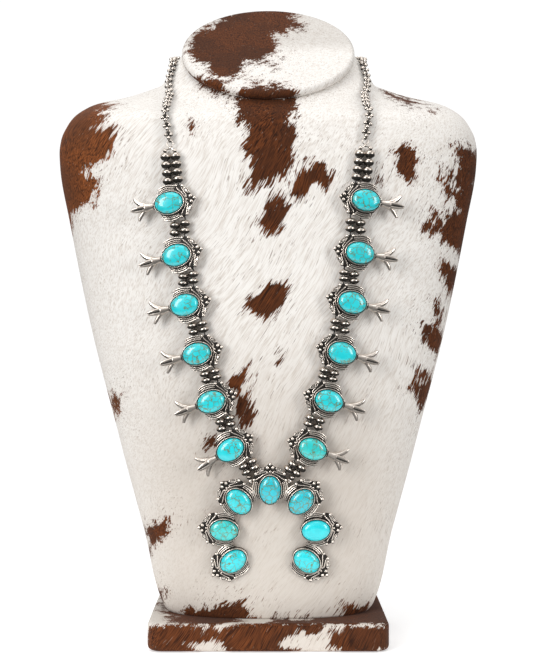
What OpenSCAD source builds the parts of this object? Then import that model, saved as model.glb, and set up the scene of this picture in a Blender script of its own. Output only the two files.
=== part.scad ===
// Squash blossom necklace laid over a hide-covered neck bust, in millimetres.
// Frame: +X to the right as seen from the front, +Y to the back, +Z up.
// The origin is the middle of the underside of the base board.

/* [Base board] */
// Width of the base board
base_w = 138; // [130:1:150]
// Depth of the base board, front to back
base_d = 94; // [88:1:110]
// Thickness of the base board
base_h = 16; // [12:0.5:20]
// Corner radius of the base board, seen from above
base_corner_r = 9; // [6:0.5:14]
// Rounding of the base board's upper and lower edges
base_edge_r = 2.5; // [1:0.5:4]

/* [Torso] */
// Greatest width of the torso, across the shoulders
torso_w = 252; // [246:1:262]
// Greatest depth of the torso
torso_d = 86; // [82:1:92]
// Height from the base board to the middle of the neck's top
torso_h = 331; // [325:1:345]
// Width of the neck at its top
neck_w = 102; // [99:1:105]
// How far the middle of the neck's top lies behind the middle of the base
neck_back = 5; // [3:0.5:7]
// Tilt of the neck's top towards the front, in degrees
neck_tilt = 40; // [38:1:42]

/* [Neck cap] */
// Thickness of the padded cap on the neck
cap_t = 6; // [4:0.5:8]
// How far the cap stands out past the neck
cap_overhang = 1; // [0.5:0.25:2]
// Rounding of the cap's rim
cap_edge_r = 2.6; // [1:0.2:3]

/* [Stones] */
// Length of an oval stone
stone_l = 16; // [15:0.25:17]
// Width of an oval stone
stone_w = 12; // [11:0.25:12.5]
// Height of the stone's dome above its girdle
stone_dome = 3.2; // [2:0.2:4]
// Height of the stone's straight side, inside the bezel
stone_side = 1.9; // [1.4:0.1:2.4]
// Clearance round a stone in its bezel
stone_gap = 0.1; // [0.1:0.02:0.16]

/* [Settings] */
// Wall of a bezel
bezel_wall = 0.8; // [0.6:0.05:1]
// Height of a bezel above the back of its plate
bezel_h = 3.1; // [2.9:0.1:3.6]
// Thickness of the plate behind a stone
plate_t = 0.9; // [0.7:0.05:1.1]
// Thickness of a feather's ribs
rib_d = 0.9; // [0.7:0.05:1]
// Diameter of a ball in the clusters
ball_d = 2; // [1.6:0.1:2.2]
// Diameter of the scroll wires
scroll_d = 0.7; // [0.5:0.05:0.9]
// Length of a blossom, from the bezel to its longest petal
blossom_l = 13.4; // [12:0.2:15]
// Diameter of a blossom's bell at its mouth
bell_d = 4.8; // [4:0.2:5.4]

/* [Strands] */
// Diameter of the beads
bead_d = 5.1; // [4.8:0.1:5.3]
// Length of a bead between two blossoms
bead_l = 3.2; // [2.8:0.1:3.3]
// Length of a rounder bead above the first blossom
top_bead_l = 4.1; // [3.6:0.1:4.1]
// Diameter of the smallest beads, next to the crescent
small_bead_d = 2.4; // [2.2:0.1:3]
// Bore of a bead
bead_bore = 1.2; // [1.1:0.05:1.4]
// Thickness of the stringing thread
thread_d = 0.8; // [0.6:0.05:0.9]
// Distance between the two strands
strand_pitch = 6; // [5.8:0.1:6.4]
// Outer diameter of the tubes that hold the strands behind a setting
tube_d = 2.4; // [2.2:0.1:2.6]
// Clearance of the beads over the bust
seat_gap = 0.3; // [0.2:0.05:0.5]

/* [Crescent] */
// Radius of the crescent, to the middles of its stones
crescent_r = 26.2; // [26:0.1:27]
// Angle from one stone of the crescent to the next
crescent_step = 42.3; // [42:0.1:43]

/* [Chain] */
// Greatest distance from one link of the chain to the next
link_pitch = 2.8; // [2.7:0.05:3.2]
// Wire of a link
link_wire = 0.55; // [0.5:0.05:0.6]
// Diameter of the two balls on a link
link_ball_d = 1.8; // [1.4:0.1:1.9]
// Play between two links
link_play = 0.18; // [0.1:0.02:0.2]
// Length of the clasp's barrel
clasp_l = 12; // [8:0.5:16]
// Diameter of the clasp's barrel
clasp_d = 4; // [3:0.2:4.6]

/* [Hidden] */

// Gap between pieces of the bust that rest on each other
rest_gap = 0.1;
torso_foot = base_h + rest_gap;
neck_z = base_h + torso_h;
tilt_slope = tan(neck_tilt);
neck_half_d = neck_w / 2 * cos(neck_tilt);

// Sections of the torso from its foot to its neck. The columns are:
// height as a share of torso_h, half width as a share of half of torso_w, then the front,
// the widest line and the back as shares of torso_d from the middle, the share of the
// neck's tilt, and how square the section is (2 is an ellipse)
SECTIONS = [
    [0.0000, 0.480, -0.395, 0.000, 0.326, 0.000, 2.45],
    [0.0090, 0.499, -0.400, 0.002, 0.330, 0.000, 2.45],
    [0.1405, 0.590, -0.453, 0.023, 0.349, 0.000, 2.45],
    [0.2720, 0.685, -0.492, 0.038, 0.363, 0.000, 2.45],
    [0.3300, 0.725, -0.510, 0.047, 0.372, 0.000, 2.45],
    [0.5015, 0.842, -0.546, 0.064, 0.390, 0.000, 2.45],
    [0.6980, 0.950, -0.558, 0.088, 0.415, 0.000, 2.45],
    [0.7945, 0.996, -0.545, 0.093, 0.430, 0.000, 2.45],
    [0.8235, 1.000, -0.533, 0.093, 0.436, 0.000, 2.45],
    [0.8490, 0.991, -0.520, 0.093, 0.440, 0.063, 2.45],
    [0.8728, 0.964, -0.510, 0.093, 0.445, 0.144, 2.45],
    [0.8910, 0.931, -0.500, 0.093, 0.450, 0.224, 2.45],
    [0.9066, 0.873, -0.487, 0.091, 0.455, 0.295, 2.42],
    [0.9140, 0.821, -0.477, 0.090, 0.459, 0.326, 2.40],
    [0.9200, 0.739, -0.467, 0.088, 0.463, 0.355, 2.36],
    [0.9250, 0.676, -0.458, 0.086, 0.467, 0.380, 2.32],
    [0.9330, 0.600, -0.447, 0.083, 0.473, 0.430, 2.26],
    [0.9440, 0.518, -0.434, 0.079, 0.481, 0.507, 2.18],
    [0.9605, 0.490, -0.418, 0.072, 0.492, 0.640, 2.10],
];

// The same sections in millimetres, with the neck's round top as the last row
rows = concat(
    [for (s = SECTIONS) [
        max(torso_foot, base_h + s[0] * torso_h), s[1] * torso_w / 2,
        s[2] * torso_d, s[3] * torso_d, s[4] * torso_d, s[5], s[6]]],
    [[neck_z, neck_w / 2, neck_back - neck_half_d, neck_back, neck_back + neck_half_d, 1, 2]]);
ring_points = 40;

function column(z, n) = lookup(z, [for (r = rows) [r[0], r[n]]]);
function section(z) = [z, for (n = [1:6]) column(z, n)];
function signed_pow(v, p) = sign(v) * pow(abs(v), p);
function lifted(p, s) = [p.x, p.y, s[0] + s[5] * tilt_slope * (p.y - neck_back)];

// Point of a section at an even step round it, from the front
function ring_point(s, a) =
    let (d = cos(a) > 0 ? s[3] - s[2] : s[4] - s[3])
    lifted([s[1] * signed_pow(sin(a), 2 / s[6]), s[3] - d * signed_pow(cos(a), 2 / s[6])], s);

// Point of a section in a direction seen from above, in degrees from the front to the right
function polar_point(s, a) =
    let (d = cos(a) > 0 ? s[3] - s[2] : s[4] - s[3],
         r = pow(pow(abs(sin(a)) / s[1], s[6]) + pow(abs(cos(a)) / d, s[6]), -1 / s[6]))
    lifted([r * sin(a), s[3] - r * cos(a)], s);

// Level of the section that passes height z in that direction, by halving
function level(a, z, low, high, turns) =
    let (mid = (low + high) / 2)
    turns == 0 ? mid
    : polar_point(section(mid), a).z < z ? level(a, z, mid, high, turns - 1)
    : level(a, z, low, mid, turns - 1);
function skin(a, z) = polar_point(section(level(a, z, torso_foot, neck_z, 14)), a);
function skin_normal(a, z) =
    unit(cross(skin(a + 1, z) - skin(a - 1, z), skin(a, z + 1) - skin(a, z - 1)));

// The same surface for the chest, found from x and z, below the tilted sections
function chest(x, z) =
    let (s = section(z))
    [x, s[3] - (s[3] - s[2]) * pow(1 - pow(abs(x) / s[1], s[6]), 1 / s[6]), z];
function chest_normal(x, z) =
    unit(cross(chest(x + 1, z) - chest(x - 1, z), chest(x, z + 1) - chest(x, z - 1)));
function unit(v) = v / norm(v);

// Closed solid through rings of points, each ring the same length
module loft(rings) {
    n = len(rings[0]);
    polyhedron(
        points = [for (r = rings, p = r) p],
        faces = concat(
            [[for (i = [0:n - 1]) i]],
            [for (k = [0:len(rings) - 2], i = [0:n - 1], half = [0, 1])
                let (a = k * n + i, b = k * n + (i + 1) % n)
                half == 0 ? [a, a + n, b] : [b, a + n, b + n]],
            [[for (i = [n - 1:-1:0]) (len(rings) - 1) * n + i]]));
}

// Round bar between two points, and its round end
module rod(from, to, d1, d2) {
    v = to - from;
    translate(from)
        rotate([0, acos(v.z / norm(v)), atan2(v.y, v.x)])
            cylinder(h = norm(v), d1 = d1, d2 = d2, $fn = 24);
}
module ball(at, d) {
    translate(at) sphere(d = d, $fn = 24);
}
module torus(r, d) {
    rotate_extrude($fn = 32) translate([r, 0]) circle(d = d, $fn = 16);
}
// Part of a ring of wire round a point of the plate
module arc_wire(at, r, d, from, to) {
    translate(at)
        rotate(from)
            rotate_extrude(angle = to - from, $fn = 64) translate([r, 0]) circle(d = d, $fn = 16);
}
// Frame at a point: x and z are its first and last axes
module place(at, x, z) {
    y = cross(z, x);
    multmatrix([
        [x.x, y.x, z.x, at.x],
        [x.y, y.y, z.y, at.y],
        [x.z, y.z, z.z, at.z],
        [0, 0, 0, 1]]) children();
}

module base_board() {
    inset = base_edge_r;
    color("saddlebrown")
        hull()
            for (x = [-1, 1], y = [-1, 1], up = [0, 1])
                translate([
                    x * (base_w / 2 - base_corner_r),
                    y * (base_d / 2 - base_corner_r),
                    up == 1 ? base_h - inset : inset])
                    rotate_extrude($fn = 28)
                        translate([base_corner_r - inset, 0]) circle(r = inset, $fn = 12);
}

module bust_torso() {
    color("linen")
        loft([for (s = rows) [for (i = [0:ring_points - 1]) ring_point(s, 360 * i / ring_points)]]);
}

module bust_cap() {
    r = neck_w / 2 + cap_overhang;
    e = min(cap_edge_r, cap_t / 2 - 0.1);
    color("linen")
        translate([0, neck_back, neck_z])
            rotate([neck_tilt, 0, 0])
                translate([0, 0, rest_gap])
                    rotate_extrude($fn = 64)
                        union() {
                            square([r - e, cap_t]);
                            translate([0, e]) square([r, cap_t - 2 * e]);
                            for (z = [e, cap_t - e]) translate([r - e, z]) circle(r = e, $fn = 24);
                        }
}

// Half sizes of a bezel's outside. The layout of a setting is in shares of them
bezel_a = stone_l / 2 + stone_gap + bezel_wall;
bezel_b = stone_w / 2 + stone_gap + bezel_wall;
function on_plate(p) = [p.x * bezel_a, p.y * bezel_b];
function oval(a, b, n) = [for (i = [0:n - 1]) [a * cos(360 * i / n), b * sin(360 * i / n)]];
oval_sides = 40;

// Ribs of a feather: round what point of the plate they curve, the outermost rib's radius,
// then for each rib from the outside in the angles where it starts and ends
FEATHER_MIDDLE = [0.09, -0.435];
FEATHER_R = 1.87;
FEATHER_RIBS = [[70, 111], [69, 119], [73, 124]];
rib_step = rib_d * 0.94;
feather_r = FEATHER_R * bezel_b;
feather_middle = on_plate(FEATHER_MIDDLE);

// Balls of the cluster on one half of a setting: x, y and diameter as a share of ball_d
BALLS = [
    [0.60, 1.29, 0.95],
    [1.00, 1.17, 0.95],
    [1.03, 0.43, 0.70],
    [1.41, 0.23, 1.05],
];
MIDDLE_BALLS = [[1.15, 0, 0.75], [1.63, 0, 1.00]];
// Leaf between the balls: middle, length and width, and its angle
LEAF_AT = [1.24, 0.74];
LEAF_ANGLE = -51;
leaf_l = 4.4;
leaf_w = 1.9;
// Scroll wires: one round the inner end of the bezel, one curl on each side of it
SCROLL_AT = [0.18, 0];
SCROLL_R = 1.0;
SCROLL_HALF_ANGLE = 66;
CURL_AT = [1.40, 1.0];
CURL_R = 0.46;
CURL_ANGLES = [165, 245];

// Outline of the plate past the feathers, on the side of the balls
PLATE_EDGE = [
    [0.74, 1.37], [1.00, 1.29], [1.09, 1.18], [1.35, 0.81], [1.43, 0.52], [1.53, 0.30],
    [1.70, 0.10]];
function plate_half() = concat(
    [for (a = [180:-9:144]) [bezel_a * cos(a), bezel_b * sin(a)]],
    [for (a = [122:-6.5:70]) feather_middle + (feather_r + 0.3 * rib_d) * [cos(a), sin(a)]],
    [for (p = PLATE_EDGE) on_plate(p)]);
function flipped(points) = [for (i = [len(points) - 1:-1:1]) [points[i].x, -points[i].y]];

// Half length that a setting takes up on the strands
setting_half = feather_middle.y + feather_r + rib_d / 2 + 0.1;
strand_drop = 0.9;
tube_half = 7.4;
strand_middle = 0.42 * bezel_a;
function strand_x(row) = strand_middle + (row == 0 ? -1 : 1) * strand_pitch / 2;
// Height of the strands, and of the plates, above the bust
strand_h = bead_d / 2 + seat_gap;
setting_h = strand_h + strand_drop;

module leaf() {
    r = (pow(leaf_l / 2, 2) + pow(leaf_w / 2, 2)) / leaf_w;
    linear_extrude(plate_t + 0.7)
        intersection() {
            translate([0, r - leaf_w / 2]) circle(r = r, $fn = 64);
            translate([0, leaf_w / 2 - r]) circle(r = r, $fn = 64);
        }
}

module feather() {
    for (k = [0:len(FEATHER_RIBS) - 1])
        arc_wire([feather_middle.x, feather_middle.y, plate_t], feather_r - k * rib_step, rib_d,
            FEATHER_RIBS[k][0], FEATHER_RIBS[k][1]);
}

// One half of what lies on a plate: a feather, balls, a leaf and a curl of wire
module setting_half_work() {
    feather();
    for (b = BALLS)
        ball([b.x * bezel_a, b.y * bezel_b, plate_t + 0.2], b.z * ball_d);
    translate(on_plate(LEAF_AT)) rotate(LEAF_ANGLE) leaf();
    arc_wire([CURL_AT.x * bezel_a, CURL_AT.y * bezel_b, plate_t], CURL_R * bezel_a, scroll_d,
        CURL_ANGLES[0], CURL_ANGLES[1]);
}

// Plate, bezel, feathers, balls and scrolls, soldered together
module setting() {
    half = plate_half();
    linear_extrude(plate_t) polygon(concat(half, flipped(half)));
    linear_extrude(bezel_h)
        difference() {
            polygon(oval(bezel_a, bezel_b, oval_sides));
            polygon(oval(bezel_a - bezel_wall, bezel_b - bezel_wall, oval_sides));
        }
    setting_half_work();
    mirror([0, 1, 0]) setting_half_work();
    for (b = MIDDLE_BALLS)
        ball([b.x * bezel_a, b.y * bezel_b, plate_t + 0.2], b.z * ball_d);
    arc_wire([SCROLL_AT.x * bezel_a, 0, plate_t], SCROLL_R * bezel_a, scroll_d,
        -SCROLL_HALF_ANGLE, SCROLL_HALF_ANGLE);
}

// Tubes behind a setting, for the two strands
module strand_tubes() {
    for (row = [0, 1])
        translate([strand_x(row), -tube_half, -strand_drop])
            rotate([-90, 0, 0])
                difference() {
                    cylinder(h = 2 * tube_half, d = tube_d, $fn = 32);
                    translate([0, 0, -1]) cylinder(h = 2 * tube_half + 2, d = bead_bore, $fn = 24);
                }
}

// Petals of a blossom: shares of blossom_l to the bend and to the tip, with how far out
// from the middle each is as a share of bell_d, and the turn round the blossom
PETALS = [
    [0.46, 0.62, 0.80, 1.32, 0],
    [0.55, 0.46, 1.00, 0.62, 90],
    [0.46, 0.62, 0.80, 1.32, 180],
    [0.55, 0.40, 0.94, 0.58, 270],
];
module blossom_flower() {
    root = [-bezel_a + bezel_wall / 2, 0, plate_t + 0.5];
    neck = 0.10 * blossom_l;
    bell = 0.42 * blossom_l;
    translate(root) {
        rod([0, 0, 0], [-neck, 0, 0], 0.62 * bell_d, 0.62 * bell_d);
        rod([-neck * 0.9, 0, 0], [-bell, 0, 0], 0.46 * bell_d, bell_d);
        for (p = PETALS)
            rotate([p[4], 0, 0]) {
                bend = [-p[0] * blossom_l, p[1] * bell_d, 0];
                rod([-0.30 * blossom_l, 0.2 * bell_d, 0], bend, 0.44 * bell_d, 0.4 * bell_d);
                ball(bend, 0.42 * bell_d);
                tip = [-p[2] * blossom_l, p[3] * bell_d, 0];
                rod(bend, tip, 0.4 * bell_d, 0.16 * bell_d);
                ball(tip, 0.18 * bell_d);
            }
    }
}

// Stones beside each other in the order down each side: x and z of the middle on the
// chest, and how far the blossom's end hangs down, in degrees
LEFT = [
    [-54.9, 253.5, 11],
    [-50.8, 224.3, 14],
    [-46.1, 196.3, 13],
    [-39.4, 169.1, 15],
    [-31.5, 142.1, 19],
    [-21, 115.2, 32],
];
RIGHT = [
    [54, 254.9, 9],
    [50.7, 225.6, 10],
    [46.4, 197.7, 13],
    [40.7, 169.6, 15],
    [33.5, 142.6, 17],
    [24.5, 115.5, 20],
];
function spots(side) = side < 0 ? LEFT : RIGHT;

// Frame of a setting: its place over the chest, the direction of its balls, and its face
function setting_frame(side, k) =
    let (spot = spots(side)[k],
         z = chest_normal(spot.x, spot.y),
         flat = [-side * cos(spot.z), 0, sin(spot.z)],
         x = unit(flat - (flat * z) * z))
    [chest(spot.x, spot.y) + setting_h * z, x, z];
function in_frame(f, p) = f[0] + p.x * f[1] + p.y * cross(f[2], f[1]) + p.z * f[2];
module in_setting(side, k) {
    f = setting_frame(side, k);
    place(f[0], f[1], f[2]) children();
}

module blossom(side, k) {
    color("silver")
        in_setting(side, k) {
            setting();
            strand_tubes();
            blossom_flower();
        }
}

// Oval cabochon: a straight side and a low dome
DOME = [[0, 1.0], [0.52, 0.91], [0.86, 0.64], [1.0, 0.28]];
stone_sides = 20;
module stone() {
    seat = plate_t + stone_gap;
    color("turquoise")
        loft(concat(
            [[for (p = oval(stone_l / 2, stone_w / 2, stone_sides)) [p.x, -p.y, seat]]],
            [for (d = DOME) [for (p = oval(stone_l / 2 * d[1], stone_w / 2 * d[1], stone_sides))
                [p.x, -p.y, seat + stone_side + d[0] * stone_dome]]]));
}

// The crescent leans on the chest: its top is carried by the strands, its ends rest
CRESCENT_MIDDLE = [1, 66];
crescent_foot_h = 1.35;
top_z = CRESCENT_MIDDLE.y + crescent_r;
foot_angle = 3 * crescent_step;
foot_x = crescent_r * sin(foot_angle);
foot_z = CRESCENT_MIDDLE.y + crescent_r * cos(foot_angle);
crescent_top = chest(CRESCENT_MIDDLE.x, top_z) + [0, -setting_h, 0];
crescent_foot = chest(CRESCENT_MIDDLE.x + foot_x, foot_z) + [-foot_x, -crescent_foot_h, 0];
crescent_up = unit(crescent_top - crescent_foot);
crescent_face = cross([1, 0, 0], crescent_up);
crescent_at = crescent_top - crescent_r * crescent_up;
function crescent_point(x, y, z) = crescent_at + x * [1, 0, 0] + y * crescent_up + z * crescent_face;
module in_crescent() {
    place(crescent_at, [1, 0, 0], crescent_face) children();
}
module in_crescent_spot(k) {
    in_crescent()
        rotate(90 - (k - 3) * crescent_step) translate([crescent_r, 0, 0]) children();
}

// Cups behind the crescent where the strands end: x and y from its middle, in shares of
// crescent_r
CUPS = [[0.412, 1.153], [0.26, 1.244]];
cup_d = tube_d + 0.8;
cup_l = tube_d;
cup_drop = 1.35;
function cup_point(side, row) =
    crescent_point(side * CUPS[row].x * crescent_r, CUPS[row].y * crescent_r, -cup_drop);
// Direction from a cup up its strand
function cup_way(side, row) = unit(strand_exit(side, 5, row, -1) - cup_point(side, row));

module crescent() {
    color("silver")
        difference() {
            union() {
                for (k = [0:6]) in_crescent_spot(k) setting();
                for (side = [-1, 1], row = [0, 1]) {
                    foot = cup_point(side, row);
                    way = cup_way(side, row);
                    rod(foot - cup_l / 2 * way, foot + cup_l / 2 * way, cup_d, cup_d);
                }
            }
            for (side = [-1, 1], row = [0, 1]) {
                foot = cup_point(side, row);
                way = cup_way(side, row);
                rod(foot - 0.3 * cup_l * way, foot + cup_l * way, bead_bore, bead_bore);
            }
        }
}

// Ends of a setting's stretch of strand, up (1) or down (-1)
function strand_exit(side, k, row, up) =
    in_frame(setting_frame(side, k), [strand_x(row), -side * up * setting_half, -strand_drop]);

// The joiners, where the chain divides into two strands: direction round the bust in
// degrees from the front, and height
JOINERS = [[-47.3, 287.3], [47, 288.6]];
function joiner_spot(side) = JOINERS[side < 0 ? 0 : 1];
joiner_spread = 2.9;
joiner_drop = 1.6;
joiner_lift = 0.35;
joiner_ball_d = 2.2;
joiner_wire = 0.8;
joiner_knot_d = 1.8;
link_r = (link_pitch + link_play) / 2 + link_wire / 2;
chain_h = max(link_r + link_wire / 2, link_r - 0.3 + link_ball_d / 2) + seat_gap;
function joiner_frame(side) =
    let (a = joiner_spot(side)[0], z = joiner_spot(side)[1],
         face = skin_normal(a, z),
         up = unit([0, 0, 1] - face.z * face))
    [skin(a, z) + chain_h * face, cross(up, face), face];
// Middle of the ball under the joiner's ring, from the ring's middle
joiner_knot_y = -link_r - link_wire / 2 - 0.45;
function joiner_cup(side, row) =
    in_frame(joiner_frame(side),
        [(row == 0 ? side : -side) * joiner_spread, joiner_knot_y - joiner_drop, joiner_lift]);
function joiner_way(side, row) = unit(strand_exit(side, 0, row, 1) - joiner_cup(side, row));

module joiner(side) {
    f = joiner_frame(side);
    color("silver")
        difference() {
            union() {
                place(f[0], f[1], f[2]) torus(link_r, link_wire);
                knot = in_frame(f, [0, joiner_knot_y, 0]);
                ball(knot, joiner_knot_d);
                for (row = [0, 1]) {
                    cup = joiner_cup(side, row);
                    rod(knot, cup, joiner_wire, joiner_wire);
                    ball(cup, joiner_ball_d);
                }
            }
            for (row = [0, 1]) {
                cup = joiner_cup(side, row);
                way = joiner_way(side, row);
                rod(cup + 0.2 * way, cup + joiner_ball_d * way, bead_bore, bead_bore);
            }
        }
}

// A bead: round rim, flat ends and a bore through it
module bead(d, l) {
    rotate_extrude($fn = 32)
        difference() {
            union() {
                translate([d / 2 - l / 2, 0]) circle(d = l, $fn = 24);
                translate([0, -l / 2]) square([max(d / 2 - l / 2, bead_bore), l]);
            }
            translate([-l, -l]) square([l + bead_bore / 2, 2 * l]);
        }
}
// As many beads as fit in an even row between two points, clear of both
bead_play = 0.1;
module bead_row(from, to, d, l) {
    way = unit(to - from);
    side = unit(cross(way, [0, 1, 0]));
    count = max(1, floor(norm(to - from) / (l + bead_play)));
    for (i = [0:count - 1])
        place(from + (i + 0.5) / count * (to - from), side, way) bead(d, l);
}

small_bead_l = 0.8 * small_bead_d;
last_gap = small_bead_l + 0.8;
module beads(side, row) {
    color("gray") {
        start = joiner_cup(side, row) + joiner_ball_d / 2 * joiner_way(side, row);
        bead_row(start, strand_exit(side, 0, row, 1), bead_d, top_bead_l);
        for (k = [0:4])
            bead_row(strand_exit(side, k, row, -1), strand_exit(side, k + 1, row, 1),
                bead_d, bead_l);
        way = cup_way(side, row);
        end = cup_point(side, row) + cup_l / 2 * way;
        bead_row(strand_exit(side, 5, row, -1), end + last_gap * way, bead_d, bead_l);
        bead_row(end + last_gap * way, end, small_bead_d, small_bead_l);
    }
}

// Closed bar with flat sides through a list of points
thread_sides = 6;
function bar_ring(p, way, d) =
    let (x = unit(cross(way, [0, 1, 0])), y = cross(way, x))
    [for (i = [0:thread_sides - 1])
        p + d / 2 * (cos(360 * i / thread_sides) * x + sin(360 * i / thread_sides) * y)];
module bar(points, d) {
    last = len(points) - 1;
    loft([for (i = [0:last])
        bar_ring(points[i], unit(points[min(i + 1, last)] - points[max(i - 1, 0)]), d)]);
}
module thread(side, row) {
    points = concat(
        [joiner_cup(side, row) + 0.3 * joiner_way(side, row)],
        [for (k = [0:5], up = [1, -1]) strand_exit(side, k, row, up)],
        [cup_point(side, row)]);
    color("dimgray") bar(points, thread_d);
}

// The chain's way from its joiner round the neck to the clasp: direction round the
// bust in degrees from the front, and height
CHAIN_LEFT = [
    [-47.3, 287.3], [-48.3, 292], [-49.5, 297.5], [-51.4, 303], [-54, 308], [-60.5, 313.5],
    [-67, 319], [-73, 324.5], [-79.5, 331], [-85, 337], [-92, 343], [-104, 347], [-120, 350],
    [-140, 352], [-160, 353], [-180, 353],
];
CHAIN_RIGHT = [
    [47, 288.6], [47.8, 293.2], [49, 298.4], [50.8, 303.5], [54, 309], [60.5, 314.5],
    [67, 319.5], [73, 325], [79.5, 331], [85, 337], [92, 343], [104, 347], [120, 350],
    [140, 352], [160, 353], [180, 353],
];
function chain_way(side) = side < 0 ? CHAIN_LEFT : CHAIN_RIGHT;
curve_steps = 5;
function curve(p, i, t) =
    let (a = p[max(i - 1, 0)], b = p[i], c = p[i + 1], d = p[min(i + 2, len(p) - 1)])
    ((2 * b) + (c - a) * t + (2 * a - 5 * b + 4 * c - d) * t * t
        + (3 * b - a - 3 * c + d) * t * t * t) / 2;
function chain_spots(side) =
    let (way = chain_way(side))
    concat(
        [for (i = [0:len(way) - 2], k = [0:curve_steps - 1]) curve(way, i, k / curve_steps)],
        [way[len(way) - 1]]);
function lengths(points) =
    [for (i = 0, s = 0; i < len(points);
        s = s + (i + 1 < len(points) ? norm(points[i + 1] - points[i]) : 0), i = i + 1) s];
function along(points, marks, s) =
    [for (axis = [0:2]) lookup(s, [for (i = [0:len(points) - 1]) [marks[i], points[i][axis]]])];

// Frame of a link: its middle, its own wide direction and its axis. Every second link
// lies flat on the bust, and those between stand on edge
function link_frame(points, faces, marks, s, flat) =
    let (way = unit(along(points, marks, s + 1) - along(points, marks, s - 1)),
         out = along(faces, marks, s),
         face = unit(out - (out * way) * way),
         wide = cross(way, face))
    [along(points, marks, s), flat ? wide : face, flat ? face : wide];
module link(f) {
    place(f[0], f[1], f[2]) {
        torus(link_r, link_wire);
        for (x = [-1, 1])
            ball([x * (link_r - 0.3), 0, 0], link_ball_d);
    }
}

// The clasp's eyes take the last links, so the line of the links ends at the eyes
clasp_eye = clasp_l / 2 + link_r;
module chain(side) {
    spots = chain_spots(side);
    faces = [for (s = spots) skin_normal(s[0], s[1])];
    points = [for (i = [0:len(spots) - 1]) skin(spots[i][0], spots[i][1]) + chain_h * faces[i]];
    marks = lengths(points);
    total = marks[len(marks) - 1] - clasp_eye;
    steps = 2 * ceil(total / link_pitch / 2);
    color("silver")
        for (i = [1:steps - 1])
            link(link_frame(points, faces, marks, i * total / steps, i % 2 == 0));
}

module clasp() {
    back = skin(180, CHAIN_LEFT[len(CHAIN_LEFT) - 1][1]) + [0, chain_h, 0];
    color("silver")
        translate(back) {
            rotate([0, 90, 0]) cylinder(h = clasp_l, d = clasp_d, center = true, $fn = 32);
            for (x = [-1, 1])
                translate([x * clasp_eye, 0, 0]) rotate([90, 0, 0]) torus(link_r, link_wire);
        }
}

base_board();
bust_torso();
bust_cap();
crescent();
clasp();
for (side = [-1, 1]) {
    name = side < 0 ? "left" : "right";
    for (k = [0:5]) {
        blossom(side, k);
        in_setting(side, k) stone();
    }
    beads(side, 0);
    beads(side, 1);
    thread(side, 0);
    thread(side, 1);
    chain(side);
    joiner(side);
}
for (k = [0:6])
    in_crescent_spot(k) stone();
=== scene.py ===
# Squash blossom necklace on a neck bust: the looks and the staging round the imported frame.
# Lengths are in millimetres in the part's frame, and are turned into metres in the meshes.
import math

import bmesh
import bpy
import numpy as np
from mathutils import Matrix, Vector


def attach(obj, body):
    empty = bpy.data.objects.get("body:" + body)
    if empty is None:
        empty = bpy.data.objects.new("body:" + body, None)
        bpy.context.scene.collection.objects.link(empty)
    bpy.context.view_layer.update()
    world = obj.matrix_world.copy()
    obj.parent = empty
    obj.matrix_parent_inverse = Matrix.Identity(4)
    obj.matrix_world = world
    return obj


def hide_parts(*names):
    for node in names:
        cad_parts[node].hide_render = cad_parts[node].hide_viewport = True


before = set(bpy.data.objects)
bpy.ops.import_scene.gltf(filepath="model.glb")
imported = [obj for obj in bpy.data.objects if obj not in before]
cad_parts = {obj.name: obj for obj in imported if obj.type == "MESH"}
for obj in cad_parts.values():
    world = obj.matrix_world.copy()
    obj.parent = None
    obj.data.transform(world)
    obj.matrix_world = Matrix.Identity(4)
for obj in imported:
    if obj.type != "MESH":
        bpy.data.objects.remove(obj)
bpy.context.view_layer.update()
MM = 0.001

# Camera, level in front of the chest. The focal length is in pixels of the picture.
CAMERA_AT = np.array([-1.0, -790.0, 180.4])
FOCAL_PX = 1315.0
PICTURE = (533.0, 666.0)
SENSOR = 36.0


def make_camera():
    data = bpy.data.cameras.new("camera")
    data.sensor_width = SENSOR
    data.lens = FOCAL_PX * SENSOR / PICTURE[1]
    data.clip_start = 0.01
    data.clip_end = 20.0
    camera = bpy.data.objects.new("camera", data)
    camera.location = CAMERA_AT * MM
    camera.rotation_euler = (math.radians(90), 0, 0)
    bpy.context.scene.collection.objects.link(camera)
    bpy.context.scene.camera = camera


def picture_place(points):
    """Where points fall in the photograph's frame, in its pixels from the top left."""
    depth = points[:, 1] - CAMERA_AT[1]
    across = PICTURE[0] / 2 + FOCAL_PX * (points[:, 0] - CAMERA_AT[0]) / depth
    down = PICTURE[1] / 2 - FOCAL_PX * (points[:, 2] - CAMERA_AT[2]) / depth
    return np.stack([across, down], axis=1)


# Mesh building. A part is its points and its faces.
class Shape:
    """Parts joined in one mesh, with a material number for each face and a value for each point."""

    def __init__(self):
        self.points, self.values, self.faces, self.slots = [], [], [], []
        self.count = 0

    def add(self, part, value=0.0, slot=0):
        points, faces = part
        self.points.append(points)
        self.values.append(np.broadcast_to(np.asarray(value, float), (len(points),)).copy())
        self.faces += [tuple(int(i) + self.count for i in face) for face in faces]
        self.slots += [slot] * len(faces)
        self.count += len(points)

    def object(self, name, materials, attribute, place=None):
        points = np.concatenate(self.points)
        if place is not None:
            points = place(points)
        mesh = bpy.data.meshes.new(name)
        mesh.from_pydata((points * MM).tolist(), [], self.faces)
        for material in materials:
            mesh.materials.append(material)
        mesh.polygons.foreach_set("material_index", self.slots)
        mesh.polygons.foreach_set("use_smooth", [True] * len(self.faces))
        layer = mesh.attributes.new(attribute, "FLOAT", "POINT")
        layer.data.foreach_set("value", np.concatenate(self.values).astype(np.float32))
        work = bmesh.new()
        work.from_mesh(mesh)
        bmesh.ops.recalc_face_normals(work, faces=work.faces)
        work.to_mesh(mesh)
        work.free()
        mesh.update()
        made = bpy.data.objects.new(name, mesh)
        bpy.context.scene.collection.objects.link(made)
        return made


def unit(v):
    v = np.asarray(v, float)
    return v / np.linalg.norm(v, axis=-1, keepdims=True)


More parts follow.
